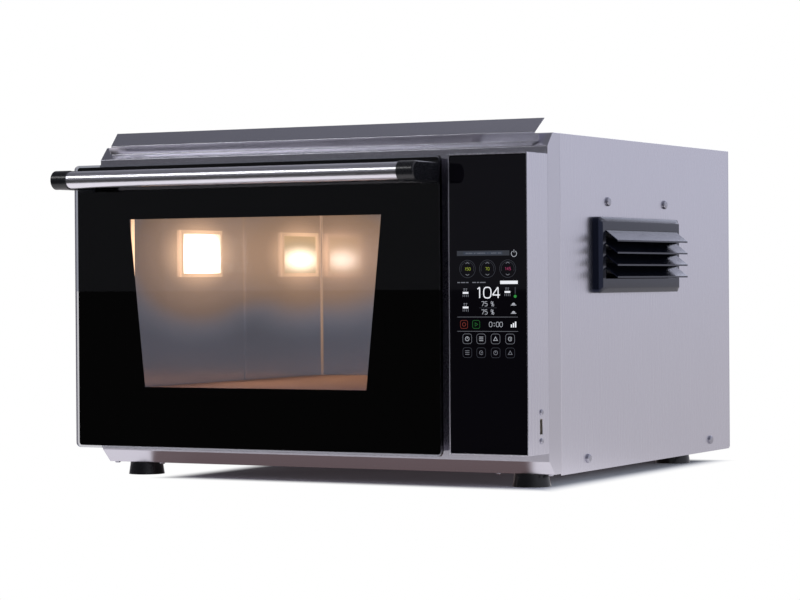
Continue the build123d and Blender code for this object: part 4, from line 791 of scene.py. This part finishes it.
def reading_marks():
    """Large reading, the heat icons at its left and right, and a small upright gauge."""
    figures("white", "104", lit_width / 2, reading_row, 8.9, 6.8, 8.3, 0.95)
    for x, down in heat_icons:
        heat_marks(x, down)
    bar("dim", gauge_x - 0.4, 30.4, 0.9, 5.4)
    dot("green", gauge_x, 38.0, 1.3)


def level_marks():
    """Two percentage rows with their small cloche signs, and the lines between and below them."""
    for down in level_rows:
        figures("soft_white", "75 %", 28.2, down, 3.7, 2.5, 2.95, 0.42)
        ring("soft_white", cloche_x, down + 0.7, 0.8, 1.5, 180, 180)
        centred_bar("soft_white", cloche_x, down + 1.1, 4.8, 0.6)
    bar("dim", 20.5, 47.4, 16.0, hairline)
    bar("grey", 0.0, 55.0, lit_width, hairline)


def timer_marks():
    """Stop and start buttons, the timer, and a sign of three rising bars."""
    rounded_box("red", stop_x, timer_row, timer_side, timer_corner, fine_pen)
    ring("red", stop_x, timer_row, 1.5, bold_pen)
    rounded_box("dark_green", start_x, timer_row, timer_side, timer_corner, fine_pen)
    arrow = [(start_x - 1.0, timer_row - 1.4), (start_x + 1.5, timer_row), (start_x - 1.0, timer_row + 1.4)]
    stroke("dark_green", arrow, fine_pen, closed=True)
    figures("soft_white", "0:00", 35.7, timer_row, 4.0, 2.7, 3.2, fine_pen)
    for number, height in enumerate((2.4, 3.6, 4.8)):
        bar("white", 49.4 + 1.9 * number, 63.7 - height, 1.2, height)
    bar("grey", 0.0, 66.9, lit_width, hairline)


def button_marks():
    """Two rows of four square buttons with plain generic signs."""
    for down, frame_ink, sign_ink, order in button_rows:
        for x in button_columns:
            rounded_box(frame_ink, x, down, button_side, button_corner, 0.32)
        clock, rows, peak, loop = (button_columns[place] for place in order)
        ring(sign_ink, clock, down, 1.7, sign_pen)
        centred_bar(sign_ink, clock, down - 0.5, 0.5, 1.4)
        for lift in (-1.5, 0.0, 1.5):
            centred_bar(sign_ink, rows, down + lift, 3.8, 0.5)
        outline = [(peak - 1.8, down + 1.3), (peak, down - 1.6), (peak + 1.8, down + 1.3)]
        stroke(sign_ink, outline, sign_pen, closed=True)
        ring(sign_ink, loop, down, 1.6, sign_pen, 30, 300)
        bar(sign_ink, loop - 0.3, down - 0.3, 1.9, 0.6)


def add_display():
    """All marks, one mesh of closed bars for each ink."""
    for draw in (header_marks, dial_marks, tab_marks, reading_marks, level_marks, timer_marks, button_marks):
        draw()
    for colour, bars in marks.items():
        points = []
        faces = []
        count = 0
        for places, quads in bars:
            points.append(places)
            faces.append(quads + count)
            count += len(places)
        mesh = closed_mesh("display_" + colour, np.concatenate(points), np.concatenate(faces).tolist())
        glow = dim_glow if colour == "dim" else full_glow
        material = lit_dots("lit_display_" + colour, ink[colour], glow)
        add_piece("display_" + colour, mesh, material, "root")


# Studio: white sweep for the camera, darker surroundings for reflections

floor_reach = 40.0
# The oven shades the paper inside this patch; past it the paper is plain white
shadow_left = -0.14
shadow_right = 0.20
shadow_front = -0.160
shadow_rear = 0.20
shadow_fade = 35 * MM
# Brightness of the floor in mirror images, and the stretches of Y over which it changes
far_front_level = 0.04
near_front_level = 1.1
rear_level = 0.66
front_fade = (-0.54, -0.46)
rear_fade = (-0.2, 0.3)
# Painted shade that only mirror images see: a brown patch below the chin that stands in for the shade under
# the oven; its edges fade over these stretches of X and Y
patch_left_fade = (-0.198, -0.192)
patch_right_fade = (0.184, 0.194)
patch_front_fade = (-0.24, -0.2)
painted_shade_level = 0.66
bare_floor = "#F6F2F6"
painted_shade_brown = "#927E7E"
# Surroundings in mirror images: dim in front and at the left, bright at the rear and right
bright_side = (0.85, 0.53, 0.0)
dim_sky = 0.15
bright_sky = 0.78
sky_fade = (-0.65, 0.9)
# A ray that crosses one clear pane meets this many faces
pane_faces = 2


def seen_directly(tree):
    """One for rays that come straight from the camera, or through both faces of one clear pane."""
    path = add(tree, "LightPath")
    few = add(tree, "Math", {0: (path, "Ray Depth"), 1: pane_faces + 0.5}, operation="LESS_THAN")
    through = add(tree, "Math", {0: (path, "Is Transmission Ray"), 1: (few, "Value")}, operation="MULTIPLY")
    return add(tree, "Math", {0: (path, "Is Camera Ray"), 1: (through, "Value")}, operation="MAXIMUM")


def outside_shadow(tree, split):
    """Zero on the shaded patch, rising to one a short way outside it."""
    across = [add(tree, "Math", {0: shadow_left, 1: (split, "X")}, operation="SUBTRACT"),
              add(tree, "Math", {0: (split, "X"), 1: shadow_right}, operation="SUBTRACT"),
              add(tree, "Math", {0: shadow_front, 1: (split, "Y")}, operation="SUBTRACT"),
              add(tree, "Math", {0: (split, "Y"), 1: shadow_rear}, operation="SUBTRACT")]
    worst = across[0]
    for other in across[1:]:
        worst = add(tree, "Math", {0: (worst, "Value"), 1: (other, "Value")}, operation="MAXIMUM")
    return add(tree, "MapRange", {"Value": (worst, "Value"), "From Min": 0.0, "From Max": shadow_fade,
                                  "To Min": 0.0, "To Max": 1.0}, interpolation_type="SMOOTHSTEP")


def mirrored_floor(tree, split):
    """Floor as glossy faces see it: dim far in front, bright nearer, with painted shade, a brown patch, by
    the chin.
    """
    fades = []
    for axis, span, low, high in (("Y", front_fade, far_front_level, near_front_level),
                                  ("Y", rear_fade, 0.0, 1.0), ("X", patch_left_fade, 0.0, 1.0),
                                  ("Y", patch_front_fade, 0.0, 1.0), ("X", patch_right_fade, 1.0, 0.0)):
        fades.append(add(tree, "MapRange", {"Value": (split, axis), "From Min": span[0], "From Max": span[1],
                                            "To Min": low, "To Max": high}, interpolation_type="SMOOTHSTEP"))
    front, rear, left, under, past = fades
    level = add(tree, "Mix", {"Factor": (rear, "Result"), "A": (front, "Result"), "B": rear_level})
    # Painted shade: a brown, dimmer patch by the chin, seen only in mirror images
    patch = add(tree, "Math", {0: (left, "Result"), 1: (under, "Result")}, operation="MULTIPLY")
    patch = add(tree, "Math", {0: (patch, "Value"), 1: (past, "Result")}, operation="MULTIPLY")
    hue = add(tree, "Mix", {mix_share: (patch, "Value"), mix_first: linear(bare_floor),
                            mix_second: linear(painted_shade_brown)}, data_type="RGBA")
    dimmed = add(tree, "Mix", {"Factor": (patch, "Value"), "A": (level, "Result"), "B": painted_shade_level})
    return add(tree, "Emission", {"Color": (hue, mixed), "Strength": (dimmed, "Result")})


def floor_material():
    """White paper: lit near the oven, plain white far off, and its own brightness in mirror images."""
    made, tree, shader = new_material("white_paper_sweep", Base_Color=linear("#EAF1FB"), Roughness=0.9,
                                      Specular_IOR_Level=0.0)
    place = add(tree, "TexCoord")
    split = add(tree, "SeparateXYZ", {"Vector": (place, "Object")})
    far = outside_shadow(tree, split)
    white = add(tree, "Emission", {"Color": (1, 1, 1, 1), "Strength": 1.0})
    paper = add(tree, "MixShader", {"Fac": (far, "Result"), 1: (shader, "BSDF"), 2: (white, "Emission")})
    mirrored = mirrored_floor(tree, split)
    path = add(tree, "LightPath")
    both = add(tree, "MixShader", {"Fac": (path, "Is Glossy Ray"), 1: (paper, "Shader"),
                                   2: (mirrored, "Emission")})
    wire(tree.nodes["out"], {"Surface": (both, "Shader")})
    return made


def add_floor():
    """Wide flat floor, which is part of the studio and not of the oven."""
    mesh = bpy.data.meshes.new("floor")
    corners = [(x * floor_reach, y * floor_reach, 0.0) for x, y in ((-1, -1), (1, -1), (1, 1), (-1, 1))]
    mesh.from_pydata(corners, [], [(0, 1, 2, 3)])
    mesh.materials.append(floor_material())
    made = bpy.data.objects.new("floor", mesh)
    scene.collection.objects.link(made)


def add_world():
    """White behind the oven; for reflections bright at the rear and dim in front."""
    world = bpy.data.worlds.new("studio")
    scene.world = world
    world.use_nodes = True
    tree = world.node_tree
    tree.nodes.clear()
    place = add(tree, "TexCoord")
    lean = add(tree, "VectorMath", {0: (place, "Generated"), 1: bright_side}, operation="DOT_PRODUCT")
    level = add(tree, "MapRange", {"Value": (lean, "Value"), "From Min": sky_fade[0],
                                   "From Max": sky_fade[1], "To Min": dim_sky, "To Max": bright_sky},
                interpolation_type="SMOOTHSTEP")
    sky = add(tree, "Background", {"Color": linear("#F0F1FF"), "Strength": (level, "Result")})
    white = add(tree, "Background", {"Color": (1, 1, 1, 1), "Strength": 1.0})
    direct = seen_directly(tree)
    both = add(tree, "MixShader", {"Fac": (direct, "Value"), 1: (sky, "Background"),
                                   2: (white, "Background")})
    add(tree, "OutputWorld", {"Surface": (both, "Shader")})


# Lights: two studio softboxes, the two lamps and the light that falls in at the mouth

aim_point = Vector((0.0, 0.0, 0.15))
# Direction from the oven, distance, width, height, power and colour
studio_lights = {
    "key": ((-0.50, -0.72, 0.47), 2.5, 0.90, 0.40, 7.0, "#FFFFFF"),
    "rear_card": ((0.0, 0.88, 0.47), 2.6, 1.20, 1.20, 7.0, "#E6EAFF"),
}
lamp_power = 0.18
lamp_colour = "#FFE3B8"
lamp_width = 60.0 * MM
lamp_height = 36.0 * MM
lamp_gap = 2.0 * MM
# The lamps look across the chamber, and down by this much for each metre
lamp_fall = 0.1
mouth_power = 0.09
mouth_colour = "#D9D6FF"
mouth_width = 0.28
mouth_height = 0.16
mouth_inset = 6.0 * MM


def softbox(name, place, target, width, height, power, colour):
    """Rectangular soft light aimed at a point; the camera doesn't see it."""
    data = bpy.data.lights.new(name, "AREA")
    data.shape = "RECTANGLE"
    data.size = width
    data.size_y = height
    data.energy = power
    data.color = linear(colour)[:3]
    made = bpy.data.objects.new(name, data)
    made.location = place
    made.rotation_euler = (Vector(target) - Vector(place)).to_track_quat("-Z", "Y").to_euler()
    made.visible_camera = False
    made.visible_transmission = False
    scene.collection.objects.link(made)
    return made


def add_studio_lights():
    """Softboxes round the oven."""
    for name, (direction, distance, width, height, power, colour) in studio_lights.items():
        place = Vector(direction).normalized() * distance + aim_point
        softbox(name, place, aim_point, width, height, power, colour)


def add_chamber_lights():
    """One light before each lens, and a faint one at the mouth; no surface mirrors them."""
    lens_face = lens_high[0] + lamp_gap
    lights = [softbox(f"chamber_lamp_{number + 1}", (lens_face, y, lamp_z),
                      (lens_high[0] + 1.0, y, lamp_z - lamp_fall), lamp_width, lamp_height, lamp_power,
                      lamp_colour) for number, y in enumerate(lamp_ys)]
    middle = (Vector(liner_low) + Vector(liner_high)) / 2
    mouth = (middle[0], liner_low[1] + mouth_inset, middle[2])
    lights.append(softbox("mouth_fill", mouth, middle, mouth_width, mouth_height, mouth_power, mouth_colour))
    for light in lights:
        light.visible_glossy = False


add_camera()
finish_nodes()
soften_nodes()
add_chamber_folds()
add_display()
add_floor()
add_world()
add_studio_lights()
add_chamber_lights()
scene.view_settings.view_transform = "Standard"
scene.cycles.use_denoising = True
